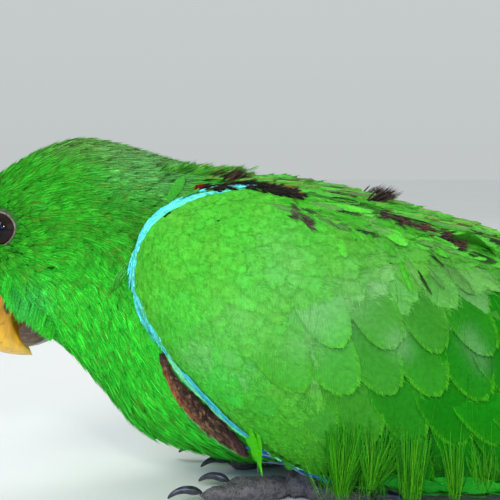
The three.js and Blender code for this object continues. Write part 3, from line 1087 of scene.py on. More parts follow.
def tuft_length(points):
    sizes = bpy.context.scene.parrot_sizes
    x, z = points[:, 0], points[:, 2]
    length = mix(sizes.face_tuft, 7.5 * MM, ramp(from_bill(points), 9 * MM, 34 * MM))
    length = mix(length, sizes.breast_tuft, ramp(x - 0.5 * z, -165 * MM, -110 * MM))
    for away in eye_distances(points):
        length = mix(2.4 * MM, length, ramp(away, 6 * MM, 13 * MM))
    return length[:, 0]


def clear_of_eyes(roots, ways, length):
    """Length of each tuft cut so that its tip stops at the lid ring."""
    ring = bpy.context.scene.parrot_sizes.lid + 0.38 * MM
    for side, away in zip(SIDES, eye_distances(roots)):
        axis = eye_frame(side)[1]
        offset = eye_parts(roots, side)[1]
        for _ in range(8):
            tip = offset + ways * length[:, None]
            tip -= (tip @ axis)[:, None] * axis
            inside = (away < 16 * MM) & (np.linalg.norm(tip, axis=1) < ring) & ((offset * ways).sum(1) < 0)
            length = np.where(inside, length * 0.82, length)
    return length


def lay_sides(groups, plan, patterns, vane, rim, seed, **options):
    """One piece of coat for each group of feathers on each side of the bird."""
    for group, chosen in groups.items():
        for side, sign in SIDES.items():
            part = np.nonzero(chosen & (np.sign(plan.roots[:, 1] + 1e-9) == sign))[0]
            arrays = lay(plan.pick(part), patterns, vane[part], rim[part], seed + sign, barb_spread=0.2,
                         **options)
            build_piece(f"{group}_coat_{side}", arrays, soft_finish(), "plumage")


class PARROT_OT_soft_coat(Operator):
    """Lay the soft tufts of head, neck and breast"""
    bl_idname = "parrot.soft_coat"
    bl_label = "Head and breast coat"

    def execute(self, context):
        sizes, colours = context.scene.parrot_sizes, context.scene.parrot_colours
        guide = SKIN.guide

        def spacing(points):
            return sizes.tuft_spacing * (0.4 + 0.58 * tuft_length(points) / (7 * MM)).clip(0.58, 1.32)

        def keep(points):
            return is_soft(points) & ~near_eye(points, sizes.lid + 0.25 * MM) & ~on_wings(points, 0.4 * MM)

        roots, normals = guide.scatter(spacing, sizes.seed, keep)
        clear = away_from(["upper_bill", "lower_bill"], roots) > 0.35 * MM
        roots, normals = roots[clear], normals[clear]
        rng = np.random.default_rng(sizes.seed + 1)
        length = tuft_length(roots) * rng.uniform(0.85, 1.2, len(roots))
        length = clear_of_eyes(roots, body_lie(roots, normals), length)
        kept = length > 0.9 * MM
        roots, normals, length = roots[kept], normals[kept], length[kept]
        half = (0.24 * length).clip(0.7 * MM, 2.1 * MM)
        depth = 0.7 * coat_depth(roots)
        lift = rng.uniform(-0.05, 0.22, len(roots)) * MM * (length / (8 * MM)).clip(0.3, 1.3)
        turn = rng.normal(0, 0.09, len(roots))
        plan = Plan(roots, normals, swaying(body_lie, turn), length, half, depth, lift, guide, steps=4)
        vane, rim = body_colours(roots)
        shade = mix(vane, colours.head_shade, 0.3)
        patterns = [tuft_pattern(rng, 7.5, 1.75, 16, sizes.barb_width / MM, lift=0.24) for _ in range(8)]
        groups = {"head": roots[:, 0] < -120 * MM, "neck": roots[:, 0] >= -120 * MM}
        lay_sides(groups, plan, patterns, shade * 0.8, rim, sizes.seed + 2, feather_spread=0.11,
                  flecks=(colours.olive[:], 0.16))
        return {"FINISHED"}


# Body coat

class PARROT_OT_body_coat(Operator):
    """Lay the feathers of back, rump, flanks, belly and thighs"""
    bl_idname = "parrot.body_coat"
    bl_label = "Body coat"

    def execute(self, context):
        sizes = context.scene.parrot_sizes
        guide = SKIN.guide

        def size_at(points):
            x = points[:, 0]
            growth = rise(x, -80 * MM, -30 * MM)
            return sizes.body_feather * (0.72 + 0.28 * growth) * (1 - 0.5 * rise(x, 45 * MM, 75 * MM))

        def spacing(points):
            return size_at(points) * 0.215

        def keep(points):
            return ~is_soft(points + np.array([-3 * MM, 0, 0])) & ~on_wings(points)

        roots, normals = guide.scatter(spacing, sizes.seed + 10, keep)
        rng = np.random.default_rng(sizes.seed + 11)
        length = size_at(roots) * rng.uniform(0.85, 1.15, len(roots))
        length = np.where(away_from(THIGHS, roots) < 1.2 * MM, 0.5 * length, length)
        length = np.where(roots[:, 2] < 16 * MM, 0.8 * length, length)
        half = 0.27 * length * rng.uniform(0.9, 1.1, len(roots))
        way = swaying(rump_lie, rng.normal(0, 0.10, len(roots)))
        lift = rng.uniform(-0.2, 0.5, len(roots)) * MM
        plan = Plan(roots, normals, way, length, half, 0.75 * coat_depth(roots), lift, guide, steps=5)
        over = np.zeros(len(roots), dtype=bool)
        for gap in BACK_GAPS:
            for step in range(1, plan.steps + 1):
                over |= gap_distance(plan.centres[:, step], gap) < 1.2 * MM
        tips = plan.centres[:, -1]
        stray = np.linalg.norm(guide.nearest(tips)[0] - tips, axis=1) > 1.4 * MM
        rows = np.nonzero(~over & ~stray)[0]
        plan, roots = plan.pick(rows), roots[rows]
        vane, rim = body_colours(roots)
        width = sizes.barb_width / MM * 1.1
        patterns = [vane_pattern(rng, 16, 4.3, 34, 3.2, width, rows=5, columns=4, roundness=0.5, splits=10)
                    for _ in range(6)]
        groups = {"back": roots[:, 2] >= 48 * MM, "belly": roots[:, 2] < 48 * MM}
        lay_sides(groups, plan, patterns, vane * 0.72, rim, sizes.seed + 12, feather_spread=0.12)
        return {"FINISHED"}


# Wing coat

def outer_wing(points, side):
    """True on the outer face and rim of one wing."""
    return (away_from(["wing_" + side], points) < 0.9 * MM) & (points[:, 1] * SIDES[side] > 0)


def covert_length(points):
    """Wing feathers grow from the edge of the wing backwards."""
    inside = np.abs(along_path(points, wing_rim())[0])
    x, z = points[:, 0], points[:, 2]
    low = rise(x * 0.62 - z * 0.78, -74 * MM, -34 * MM)
    length = (6.5 + 11 * rise(inside, 3 * MM, 62 * MM) + 15 * low * rise(inside, 8 * MM, 26 * MM)) * MM
    return length * (1 - 0.35 * rise(z + 0.25 * x, 82 * MM, 92 * MM))


def rim_share(stations):
    """Share of the wing's rim passed at each of some photo pixels."""
    spots = np.array([place(px, py) for px, py in stations])
    return along_path(np.stack([spots[:, 0], spots[:, 0] * 0, spots[:, 1]], 1), wing_rim())[1]


def rim_width(share):
    """Width of the bright rim along the wing's edge, from the shoulder to the tip."""
    passed = rim_share([(px, py) for px, py, _ in RIM_WIDTHS])
    return np.interp(share, passed, [width * MM for *_, width in RIM_WIDTHS])


def edge_zone(points, upper, lower):
    """Points outside the wing's edge in side view, or inside it by less than some shares of the rim."""
    distance, share = along_path(points, wing_rim())
    return distance < rim_width(share) * np.interp(share, rim_share(RIM_BREAK), [upper, lower])


def rim_way(points, normals):
    """Along the wing's rim, from the shoulder round to the tip."""
    path = wing_rim()
    _, share = along_path(points, path)
    lengths = np.linalg.norm(np.diff(path, axis=0), axis=1)
    passed = np.concatenate([[0], np.cumsum(lengths)]) / lengths.sum()
    step = 0.02
    x, z = (np.interp(share + step, passed, line) - np.interp(share - step, passed, line) for line in path.T)
    return flattened(np.stack([x, np.zeros(len(points)), z], 1), normals)


class PARROT_OT_wing_coat(Operator):
    """Lay the coverts of both wings and the bright feathers along their edges"""
    bl_idname = "parrot.wing_coat"
    bl_label = "Wing coat"

    def execute(self, context):
        sizes = context.scene.parrot_sizes
        guide = SKIN.guide
        rng = np.random.default_rng(sizes.seed + 20)
        width = sizes.barb_width / MM
        small = [vane_pattern(rng, 10, 3.4, 44, 2.0, width * 0.62, rows=4, columns=4, splits=6, camber=0.02,
                              roundness=0.4) for _ in range(7)]
        large = [vane_pattern(rng, 24, 6.6, 76, 2.2, width * 0.75, rows=9, columns=6, roundness=0.5, splits=3,
                              camber=0.09, wear=False) for _ in range(6)]

        def gap(points):
            length = covert_length(points)
            return length * np.interp(length, [8 * MM, 16 * MM, 26 * MM], [0.25, 0.235, 0.2])

        for side, sign in SIDES.items():
            def keep(points):
                return outer_wing(points, side)

            roots, normals = guide.scatter(gap, sizes.seed + 21, keep)
            kept = (normals[:, 1] * sign > -0.1) & (normals[:, 0] < 0.6) & ~edge_zone(roots, 0.35, 0.95)
            roots, normals = roots[kept], normals[kept]
            length = covert_length(roots) * rng.uniform(0.85, 1.2, len(roots))
            half = length * np.interp(length, [6 * MM, 14 * MM, 26 * MM], [0.38, 0.34, 0.30])
            sunk = large_zone(roots, roots + wing_lie(roots, normals) * length[:, None])[:, 0]
            lift = (rng.uniform(-0.02, 0.06, len(roots)) - sunk) * MM
            turn = rng.normal(0, 0.16, len(roots)) * np.interp(length, [8 * MM, 20 * MM], [1, 0.4])
            depth = np.interp(length, [7 * MM, 14 * MM, 30 * MM], [0.36 * MM, 0.8 * MM, 1.7 * MM])
            plan = Plan(roots, normals, swaying(wing_lie, turn), length, half, depth, lift, guide, steps=6,
                        free=0.35)
            vane, rim = wing_colours(roots)
            # Coverts sunk under the large ones turn deep green: painted shade in the gaps between the large
            # coverts
            vane, rim = (mix(tone, linear(16, 100, 8), 0.7 * sunk[:, None]) for tone in (vane, rim))
            big = length > 15 * MM
            near = away_from([f"wing_{side}", f"primaries_{side}"], plan.centres[:, -1]) < 2.4 * MM
            near &= ~big | (plan.ups[:, -1, 1] * sign > 0.25)
            for group, chosen, patterns in (("lesser", ~big, small), ("greater", big, large)):
                part = np.nonzero(chosen & near)[0]
                arrays = lay(plan.pick(part), patterns, vane[part], rim[part], sizes.seed + 22 + sign,
                             barb_spread=0.12, feather_spread=0.05, patch=0.004)
                build_piece(f"{group}_coverts_{side}", arrays, firm_finish(), "plumage")
            self.edge_feathers(side, sign, sizes, width)
        return {"FINISHED"}

    def edge_feathers(self, side, sign, sizes, width):
        """Short narrow feathers along the wing's edge, cyan above and blue below."""
        colours = bpy.context.scene.parrot_colours
        rng = np.random.default_rng(sizes.seed + 30)
        guide = SKIN.guide

        def keep(points):
            return outer_wing(points, side) & edge_zone(points, 0.8, 0.85)

        roots, normals = guide.scatter(lambda points: np.full(len(points), 0.58 * MM), sizes.seed + 31, keep)
        inside, share = along_path(roots, wing_rim())
        kept = (normals[:, 1] * sign > -0.55) & (share > 0.001)
        roots, normals, share, inside = roots[kept], normals[kept], share[kept], inside[kept]
        count = len(roots)
        length = rng.uniform(5.5, 8.5, count) * MM
        half = rng.uniform(0.3, 0.46, count) * MM * np.interp(share, [0, 0.1, 0.3], [1.5, 1.0, 0.9])
        way = swaying(rim_way, rng.normal(0, 0.04, count))
        lower = ramp(share, *rim_share(RIM_BREAK))
        lift = rng.uniform(0.05, 0.15, count) + 0.75 * lower[:, 0]
        plan = Plan(roots, normals, way, length, half, (0.3 - 0.9 * lower[:, 0]) * MM, lift * MM, guide,
                    steps=6, free=0.9)
        pattern = [vane_pattern(rng, 5, 0.9, 8, 0.7, width * 0.7, rows=4, columns=2, splits=2)
                   for _ in range(4)]
        outer = 1 - ramp(inside, -0.2 * MM, 0.35 * MM)
        hidden = ramp(-inside, 0.3 * MM, 0.8 * MM) * ramp(share, *rim_share(RIM_HIDDEN))
        past = ramp(share, *rim_share(RIM_GREEN))
        band = mix(np.array(linear(70, 186, 200)), linear(132, 244, 176),
                   1 - ramp(inside, 0.9 * MM, 1.3 * MM))
        # Cyan of the edge, on some feathers and fringes paled toward white as painted highlight
        vane = painted(
            np.array(colours.cyan),
            (linear(150, 252, 250), rng.random((count, 1)) * 0.6),
            (linear(92, 236, 150), 0.75 * ramp(inside, 0.7 * MM, 1.6 * MM) * (rng.random((count, 1)) < 0.6)),
            (linear(30, 160, 216), 0.35 * outer),
            (band, lower),
            (linear(52, 168, 46), hidden))
        rim = mix(vane, linear(170, 250, 246), 0.3 * (1 - lower) * (1 - hidden))
        vane, rim = mix(vane, linear(30, 120, 40), past), mix(rim, linear(70, 170, 60), past)
        arrays = lay(plan, pattern, vane, rim, sizes.seed + 32, barb_spread=0.12, feather_spread=0.12)
        build_piece(f"wing_edge_{side}", arrays, firm_finish(), "plumage")


# Flight feathers

def quill_arrays(root, tip, out, half, thickness, bow, twist, vane, rim, rng):
    """One long feather with two webs, a shaft and some thickness, as arrays."""
    rows, columns = 26, 8
    length = np.linalg.norm(tip - root)
    ahead = (tip - root) / length
    up = unit(np.array(out) - ahead * np.dot(out, ahead))
    side = np.cross(ahead, up)
    points, tint, grain = [], [], []
    stations = np.linspace(0, 1, rows + 1)
    for face in (1, -1):
        for t in stations:
            swell = min(1.0, 0.3 + 2.4 * t)
            close = math.sqrt(max(0.0004, 1 - (max(0.0, t - 0.8) / 0.2) ** 2.4))
            for column in range(columns + 1):
                u = 2 * column / columns - 1
                web = 0.62 if u * twist > 0 else 1.0
                reach = u * half * swell * close * web
                ridge = 0.35 * MM * max(0, 1 - abs(u) * 3.5) * (1 - 0.8 * t)
                height = bow * length * (t - 0.5) ** 2 * -1 - 0.14 * half * u * u + face * (
                    thickness / 2 * (1 - 0.85 * u * u) + ridge * (0.6 if face < 0 else 1))
                points.append(root + ahead * length * t + side * reach + up * height)
                colour = mix(vane(t, u, face), rim(t, u, face), abs(u) ** 3)
                tint.append(colour * math.exp(rng.normal(0, 0.03)))
                grain.append((u * half / MM, t * length / MM))
    faces = []
    block = (rows + 1) * (columns + 1)
    for layer, flip in ((0, False), (block, True)):
        for row in range(rows):
            for column in range(columns):
                a = layer + row * (columns + 1) + column
                b = a + columns + 1
                quad = [(a, a + 1, b + 1), (a, b + 1, b)]
                faces += [tri[::-1] for tri in quad] if flip else quad
    ring = [*range(columns + 1),
            *(row * (columns + 1) + columns for row in range(1, rows + 1)),
            *(rows * (columns + 1) + column for column in range(columns - 1, -1, -1)),
            *(row * (columns + 1) for row in range(rows - 1, 0, -1))]
    for a, b in zip(ring, ring[1:] + ring[:1]):
        faces += [(a, a + block, b + block), (a, b + block, b)]
    return {"points": np.array(points), "faces": np.array(faces), "tint": np.array(tint),
            "grain": np.array(grain)}


def spread_patches(sets):
    """Each long feather gets its own column of the map."""
    for index, one in enumerate(sets):
        grain = one["grain"]
        across = (grain[:, 0] - grain[:, 0].min()) / np.ptp(grain[:, 0])
        along = (grain[:, 1] - grain[:, 1].min()) / np.ptp(grain[:, 1])
        half = len(grain) // 2
        across[half:] += 1.05
        one["patch"] = np.stack([(index + (across * 0.44 + 0.02)) / len(sets), along * 0.96 + 0.02], 1)
    return joined_arrays(sets)


class PARROT_OT_flight_feathers(Operator):
    """Make the long feathers of both wings and the tail"""
    bl_idname = "parrot.flight_feathers"
    bl_label = "Flight feathers"

    def execute(self, context):
        colours = context.scene.parrot_colours
        rng = np.random.default_rng(context.scene.parrot_sizes.seed + 40)
        blue, black = np.array(colours.blue), np.array(linear(18, 20, 26))
        green = np.array(linear(28, 118, 44))
        for side, sign in SIDES.items():
            low, high = (np.array(corner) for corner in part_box("primaries_" + side))
            sets = []
            for number in range(9):
                share = number / 8
                tip = np.array([high[0] - (0.5 + 26 * share ** 1.25) * MM,
                                sign * (26.5 + 0.6 * share) * MM, low[2] + (2.2 + 19.5 * share) * MM])
                root = tip + np.array([-70 * MM, sign * 7.5 * MM * 0.35, (11 + 8 * share) * MM])

                def vane(t, u, face, share=share):
                    lean = max(0.0, min(1.0, (t - 0.55) / 0.35))
                    base = green * (0.35 * share) + blue * 0.55 * (1 - 0.35 * share)
                    return base * (1 - lean) + black * lean

                def rim(t, u, face, share=share):
                    lean = max(0.0, min(1.0, (t - 0.7) / 0.3))
                    base = blue * (1 - share * 0.5) + green * share * 0.5 if u < 0 else black
                    return base * (1 - 0.75 * lean) + black * 0.75 * lean

                sets.append(quill_arrays(root, tip, (0, sign, 0.12), 4.6 * MM, 0.55 * MM, 0.05, -sign,
                                         vane, rim, rng))
            build_piece(f"primaries_{side}_feathers", spread_patches(sets), firm_finish(),
                        "flight_feathers", [f"primaries_{side}"])
        self.tail(colours, rng)
        return {"FINISHED"}

    def tail(self, colours, rng):
        """Twelve feathers, the inner ones over the outer."""
        low, high = (np.array(corner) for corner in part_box("tail"))
        green, blue = np.array(linear(30, 128, 30)), np.array(colours.blue)
        yellow, grey = np.array(linear(206, 186, 84)), np.array(linear(40, 42, 44))
        sets = []
        feathers = 12
        for number in range(feathers):
            offset = number - (feathers - 1) / 2
            rank = abs(offset) - 0.5
            spread = offset / (feathers / 2)
            tip = np.array([high[0] - (1.2 + 1.6 * rank) * MM, spread * 14.6 * MM,
                            low[2] + (2.3 + 0.55 * (5 - rank)) * MM])
            root = np.array([low[0] + 2 * MM, spread * 7 * MM,
                             high[2] - (7.5 + 0.5 * rank) * MM + (5 - rank) * 0.4 * MM])
            lateral = rank / 5

            def vane(t, u, face, lateral=lateral):
                if face < 0:
                    end = max(0.0, (t - 0.88) / 0.12)
                    return grey * (1 - end) + yellow * 0.8 * end
                tone = green * (1 - lateral) + blue * 0.8 * lateral
                end = max(0.0, (t - 0.9) / 0.1)
                return tone * (1 - end) + yellow * 0.75 * end

            def rim(t, u, face, lateral=lateral):
                return vane(t, u, face) * 0.7 + blue * 0.3 * lateral

            out = (0, 0.25 * np.sign(offset) * lateral, 1)
            sets.append(quill_arrays(root, tip, out, 6.8 * MM, 0.5 * MM, 0.03, np.sign(offset),
                                     vane, rim, rng))
        build_piece("tail_feathers", spread_patches(sets), firm_finish(), "flight_feathers", ["tail"])


# Eyes

def eye_finish():
    sizes = bpy.context.scene.parrot_sizes
    f = Finish("eye", Roughness=0.4, Coat_Weight=1.0, Coat_Roughness=0.015, Coat_IOR=1.27,
               Specular_IOR_Level=0.0)
    reach = f.add("UVMap", {"uv_map": "iris"}).outputs[0]
    split = f.add("SeparateXYZ", Vector=reach)
    fibres = f.noise(3.0, 3.0, f.add("CombineXYZ", X=f.maths("MULTIPLY", split.outputs["Y"], 14.0),
                                     Y=split.outputs["X"]).outputs[0])
    radius = f.maths("ADD", split.outputs["X"], f.maths("MULTIPLY", f.maths("SUBTRACT", fibres, 0.5), 0.03))
    edge = sizes.pupil / (sizes.lid + 0.2 * MM)
    iris = f.ramp(radius, (0, linear(3, 3, 6)), (edge - 0.02, linear(4, 4, 6)),
                  (edge + 0.03, linear(16, 11, 10)), (0.84, linear(34, 20, 14)), (1.0, linear(12, 8, 8)))
    f.colour(f.blend("MULTIPLY", 0.5, iris, f.ramp(fibres, (0.3, (0.5, 0.5, 0.5)), (0.7, (1.3, 1.3, 1.3)))))
    return f.material


def lid_finish():
    f = Finish("eyelid", Roughness=0.6, Specular_IOR_Level=0.3, Subsurface_Weight=0.05)
    grain = f.noise(1500, 3.0)
    f.colour(f.ramp(grain, (0.3, linear(82, 74, 62)), (0.55, linear(114, 106, 92)),
                    (0.75, linear(148, 142, 128))))
    f.bump(grain, 0.5, 0.1 * MM)
    return f.material


def settled_primitive(name):
    """The primitive just added, named, smooth and with its place in its mesh."""
    piece = bpy.context.object
    piece.name = piece.data.name = name
    bpy.ops.object.transform_apply(location=True, rotation=True, scale=True)
    bpy.ops.object.shade_smooth()
    return piece


class PARROT_OT_eyes(Operator):
    """Make the eyeballs and the bare lid ring round each"""
    bl_idname = "parrot.eyes"
    bl_label = "Eyes"

    def execute(self, context):
        sizes = context.scene.parrot_sizes
        for side in SIDES:
            centre, axis, ball = eye_frame(side)
            turn = Vector((0, 0, 1)).rotation_difference(Vector(axis)).to_euler()
            deselect()
            bpy.ops.mesh.primitive_uv_sphere_add(segments=64, ring_count=40, radius=ball,
                                                 location=Vector(centre), rotation=turn)
            eye = settled_primitive(f"eyeball_{side}")
            points = points_of(eye.data)
            height, across, radius = eye_parts(points, side)
            bulge = np.clip(1 - (radius / (sizes.lid * 0.9)) ** 2, 0, 1) * (height > 0) * 0.35 * MM
            set_points(eye.data, points + bulge[:, None] * axis)
            first = unit(np.cross(axis, np.array([0.0, 0.0, 1.0])))
            second = np.cross(axis, first)
            angle = np.arctan2(across @ second, across @ first) / (2 * math.pi)
            reach = np.where(height > 0, radius / (sizes.lid + 0.2 * MM), 1.2)
            self.map_iris(eye.data, np.stack([reach, angle], 1))
            eye.data.materials.append(finish("eye", eye_finish))
            settle(eye, "eye", [f"eye_{side}"])
            self.lid(side, turn, sizes.lid)
        return {"FINISHED"}

    def map_iris(self, mesh, values):
        """A map of the reach from the axis and the turn about it, whole across the turn's start."""
        mesh.uv_layers.new(name="iris")
        uv = values[read(mesh.loops, "vertex_index", 1, np.int32)]
        for polygon in mesh.polygons:
            span = slice(polygon.loop_start, polygon.loop_start + polygon.loop_total)
            turns = uv[span, 1]
            if np.ptp(turns) > 0.5:
                uv[span, 1] = np.where(turns < 0, turns + 1, turns)
        mesh.uv_layers["iris"].data.foreach_set("uv", uv.astype(np.float32).ravel())

    def lid(self, side, turn, lid):
        """A low ring of skin that hugs the eyeball, drawn out to a corner in front and behind."""
        centre, axis, ball = eye_frame(side)
        seat = Vector(centre + axis * (lid_height(ball, lid) - 0.05 * MM))
        deselect()
        bpy.ops.mesh.primitive_torus_add(major_radius=lid + 0.12 * MM, minor_radius=0.29 * MM,
                                         major_segments=160, minor_segments=16, location=seat, rotation=turn)
        ring = settled_primitive(f"eyelid_{side}")
        height, across, radius = eye_parts(points_of(ring.data), side)
        angle = np.arctan2(across[:, 2], across[:, 0])
        corner = np.abs(np.cos(angle)) ** 10
        beads = 1 + 0.014 * np.sin(angle * 50) * (radius > lid)
        spread = 1 + 0.035 * corner + 0.02 * np.sin(3 * angle + 1)
        set_points(ring.data, centre + across * (spread * beads)[:, None]
                   + (height - 0.25 * (radius - lid))[:, None] * axis)
        ring.data.materials.append(finish("lid", lid_finish))
        settle(ring, "plumage")


# Bill

def upper_bill_finish():
    f = Finish("upper bill", Coat_Weight=0.5, Coat_Roughness=0.16, Specular_IOR_Level=0.45,
               Subsurface_Weight=0.12, Subsurface_Scale=0.002)
    f.shader.inputs["Subsurface Radius"].default_value = (1.0, 0.45, 0.15)
    spot = f.add("TexCoord").outputs["Object"]
    split = f.add("SeparateXYZ", Vector=spot)
    high = f.maths("DIVIDE", f.maths("SUBTRACT", split.outputs["Z"], 0.0405), 0.033)
    streak = f.noise(1.0, 4.0, f.add("VectorMath", {"operation": "MULTIPLY"}, i0=spot,
                                     i1=(520.0, 900.0, 140.0)).outputs[0])
    level = f.maths("ADD", high, f.maths("MULTIPLY", f.maths("SUBTRACT", streak, 0.5), 0.14))
    horn = f.ramp(level, (0.0, linear(226, 186, 96)), (0.14, linear(232, 180, 40)),
                  (0.4, linear(224, 158, 20)), (0.62, linear(204, 126, 12)), (0.8, linear(184, 84, 8)),
                  (0.92, linear(136, 56, 14)))
    worn = f.blend("MULTIPLY", 0.6, horn, f.ramp(streak, (0.25, (0.5, 0.46, 0.36)), (0.6, (1.1, 1.08, 1.0))))
    stains = f.ramp(f.noise(420, 5.0), (0.55, (1, 1, 1)), (0.74, (0.46, 0.36, 0.26)))
    stained = f.blend("MULTIPLY", 0.7, worn, stains)
    # Painted shade: a near-black patch in the slot of the gape, at the base of the bill
    away = f.add("VectorMath", {"operation": "MULTIPLY_ADD"}, i0=spot, i1=(900.0, 0.0, 380.0),
                 i2=(131.3, 0.0, -21.5))
    gape_shade = f.ramp(f.add("VectorMath", {"operation": "LENGTH"}, i0=away.outputs[0]).outputs["Value"],
                  (0.6, (0.05, 0.04, 0.03)), (1.1, (1, 1, 1)))
    f.colour(f.blend("MULTIPLY", 0.92, stained, gape_shade))
    f.roughness(0.28, 0.5, streak)
    f.bump(streak, 0.25, 0.2 * MM)
    return f.material


def lower_bill_finish():
    f = Finish("lower bill", Coat_Weight=0.35, Coat_Roughness=0.2, Specular_IOR_Level=0.5)
    spot = f.add("TexCoord").outputs["Object"]
    streak = f.noise(1.0, 4.0, f.add("VectorMath", {"operation": "MULTIPLY"}, i0=spot,
                                     i1=(300.0, 700.0, 900.0)).outputs[0])
    f.colour(f.ramp(streak, (0.25, linear(34, 20, 12)), (0.5, linear(72, 50, 28)),
                    (0.78, linear(122, 92, 52))))
    f.roughness(0.25, 0.5, streak)
    f.bump(streak, 0.3, 0.2 * MM)
    return f.material


class PARROT_OT_bill(Operator):
    """Make the two halves of the bill from their solids"""
    bl_idname = "parrot.bill"
    bl_label = "Bill"

    def execute(self, context):
        for name, maker in (("upper_bill", upper_bill_finish), ("lower_bill", lower_bill_finish)):
            piece = copy_of([name], f"{name}_horn", swell=0.12 * MM)
            remesh(piece, 0.42 * MM, 7)
            points, normals = points_of(piece.data), normals_of(piece.data)
            x, y, z = points.T
            growth = np.sin((z * 0.9 + x * 0.35) / (1.35 * MM) + 1.3 * np.sin(y / (2.1 * MM)))
            points = points + normals * (growth * 0.035 * MM)[:, None]
            set_points(piece.data, points)
            piece.data.materials.append(finish(name, maker))
            settle(piece, name, [name])
        return {"FINISHED"}


# Feet

def scale_finish():
    f = Finish("foot scales", Specular_IOR_Level=0.35)
    spot = f.add("TexCoord").outputs["Object"]
    cells = f.add("TexVoronoi", {"feature": "DISTANCE_TO_EDGE"}, Vector=spot, Scale=860.0)
    seam = f.maths("MINIMUM", f.maths("MULTIPLY", cells.outputs["Distance"], 5.0), 1.0)
    dust = f.noise(600, 4.0)
    skin = f.ramp(dust, (0.3, linear(48, 48, 50)), (0.7, linear(104, 102, 100)))
    f.colour(f.blend("MIX", f.scaled(0.25, 0.0, seam), skin, linear(140, 136, 128)))
    f.roughness(0.5, 0.75, dust)
    f.bump(seam, 0.8, 0.25 * MM)
    return f.material


def claw_finish():
    f = Finish("claws", Coat_Weight=0.3, Coat_Roughness=0.2, Specular_IOR_Level=0.5)
    dust = f.noise(500, 4.0)
    f.colour(f.ramp(dust, (0.3, linear(16, 18, 26)), (0.75, linear(58, 60, 74))))
    f.roughness(0.25, 0.5, dust)
    f.bump(dust, 0.2, 0.15 * MM)
    return f.material


class PARROT_OT_feet(Operator):
    """Make the scaly feet, each with its four toes, and the claws"""
    bl_idname = "parrot.feet"
    bl_label = "Feet"

    def execute(self, context):
        for side in SIDES:
            names = [f"shank_{side}"] + [f"{toe}_{side}" for toe in TOES]
            foot = copy_of(names, f"foot_{side}", swell=0.2 * MM)
            remesh(foot, 0.42 * MM, 5)
            points, normals = points_of(foot.data), normals_of(foot.data)
            centre = points.mean(0)
            reach = np.linalg.norm((points - centre)[:, :2], axis=1)
            rings = np.abs(np.sin(reach * math.pi / (1.9 * MM))) ** 0.5
            upper = np.clip(normals[:, 2], 0, 1)
            points = points + normals * ((rings - 0.7) * 0.22 * MM * upper)[:, None]
            points[:, 2] = np.maximum(points[:, 2], 0.02 * MM)
            set_points(foot.data, points)
            foot.data.materials.append(finish("scales", scale_finish))
            settle(foot, "scaly_skin", names)
            claws = [f"claw_{number}_{side}" for number in range(1, 5)]
            nails = copy_of(claws, f"claws_{side}")
            smooth = nails.modifiers.new("Round", "SUBSURF")
            smooth.levels = smooth.render_levels = 2
            bpy.ops.object.modifier_apply(modifier=smooth.name)
            bpy.ops.object.shade_smooth()
            nails.data.materials.append(finish("claw", claw_finish))
            settle(nails, "claw", claws)
        return {"FINISHED"}


# Loose feathers

def on_path(path, share):
    """Photo place at a share of the way through a path, counted by its points."""
    passed = np.linspace(0, 1, len(path))
    return np.array([np.interp(share, passed, line) for line in np.array(path, dtype=float).T])


def mirrored(arrays):
    """The same feathers on the bird's other side."""
    twin = {key: values.copy() for key, values in arrays.items()}
    twin["points"][:, 1] *= -1
    twin["faces"] = twin["faces"][:, ::-1]
    return twin


def drawn(rows, surface, steps=6, free=0.35, bury=0.4, back=0.0, level=1.0):
    """Plan of single feathers, each from one photo pixel to another, with half width and lift in mm.

    The root may lie deeper and further back under its neighbours. Level 0 keeps the feather's distance out.
    """
    found = []
    for row in rows:
        across, down = row[2] - row[0], row[3] - row[1]
        start, normal = seen_at(row[0] - back * across, row[1] - back * down, surface)
        if start is None:
            continue
        end, _ = seen_at(row[2], row[3], surface)
        span = (1 + back) * PIXEL * math.hypot(across, down)
        if level == 0 or end is None or (end - start).length > 2 * span:
            x, z = place(row[2], row[3], -start.y)
            end = Vector((x, start.y, z))
        reach = end - start
        reach.y = max(-level * span, min(level * span, reach.y))
        found.append((row, start, normal, reach))
    sizes = np.array([row[4:6] for row, *_ in found], dtype=float)
    roots, normals, reach = (np.array([entry[k] for entry in found]) for k in (1, 2, 3))

    def way(points, up):
        return unit(reach - up * (reach * up).sum(1, keepdims=True) * (level > 0))

    plan = Plan(roots, normals, way, np.linalg.norm(reach, axis=1), sizes[:, 0] * MM,
                np.full(len(found), bury * MM), sizes[:, 1] * MM, surface, steps=steps, free=free)
    return plan, [row for row, *_ in found]


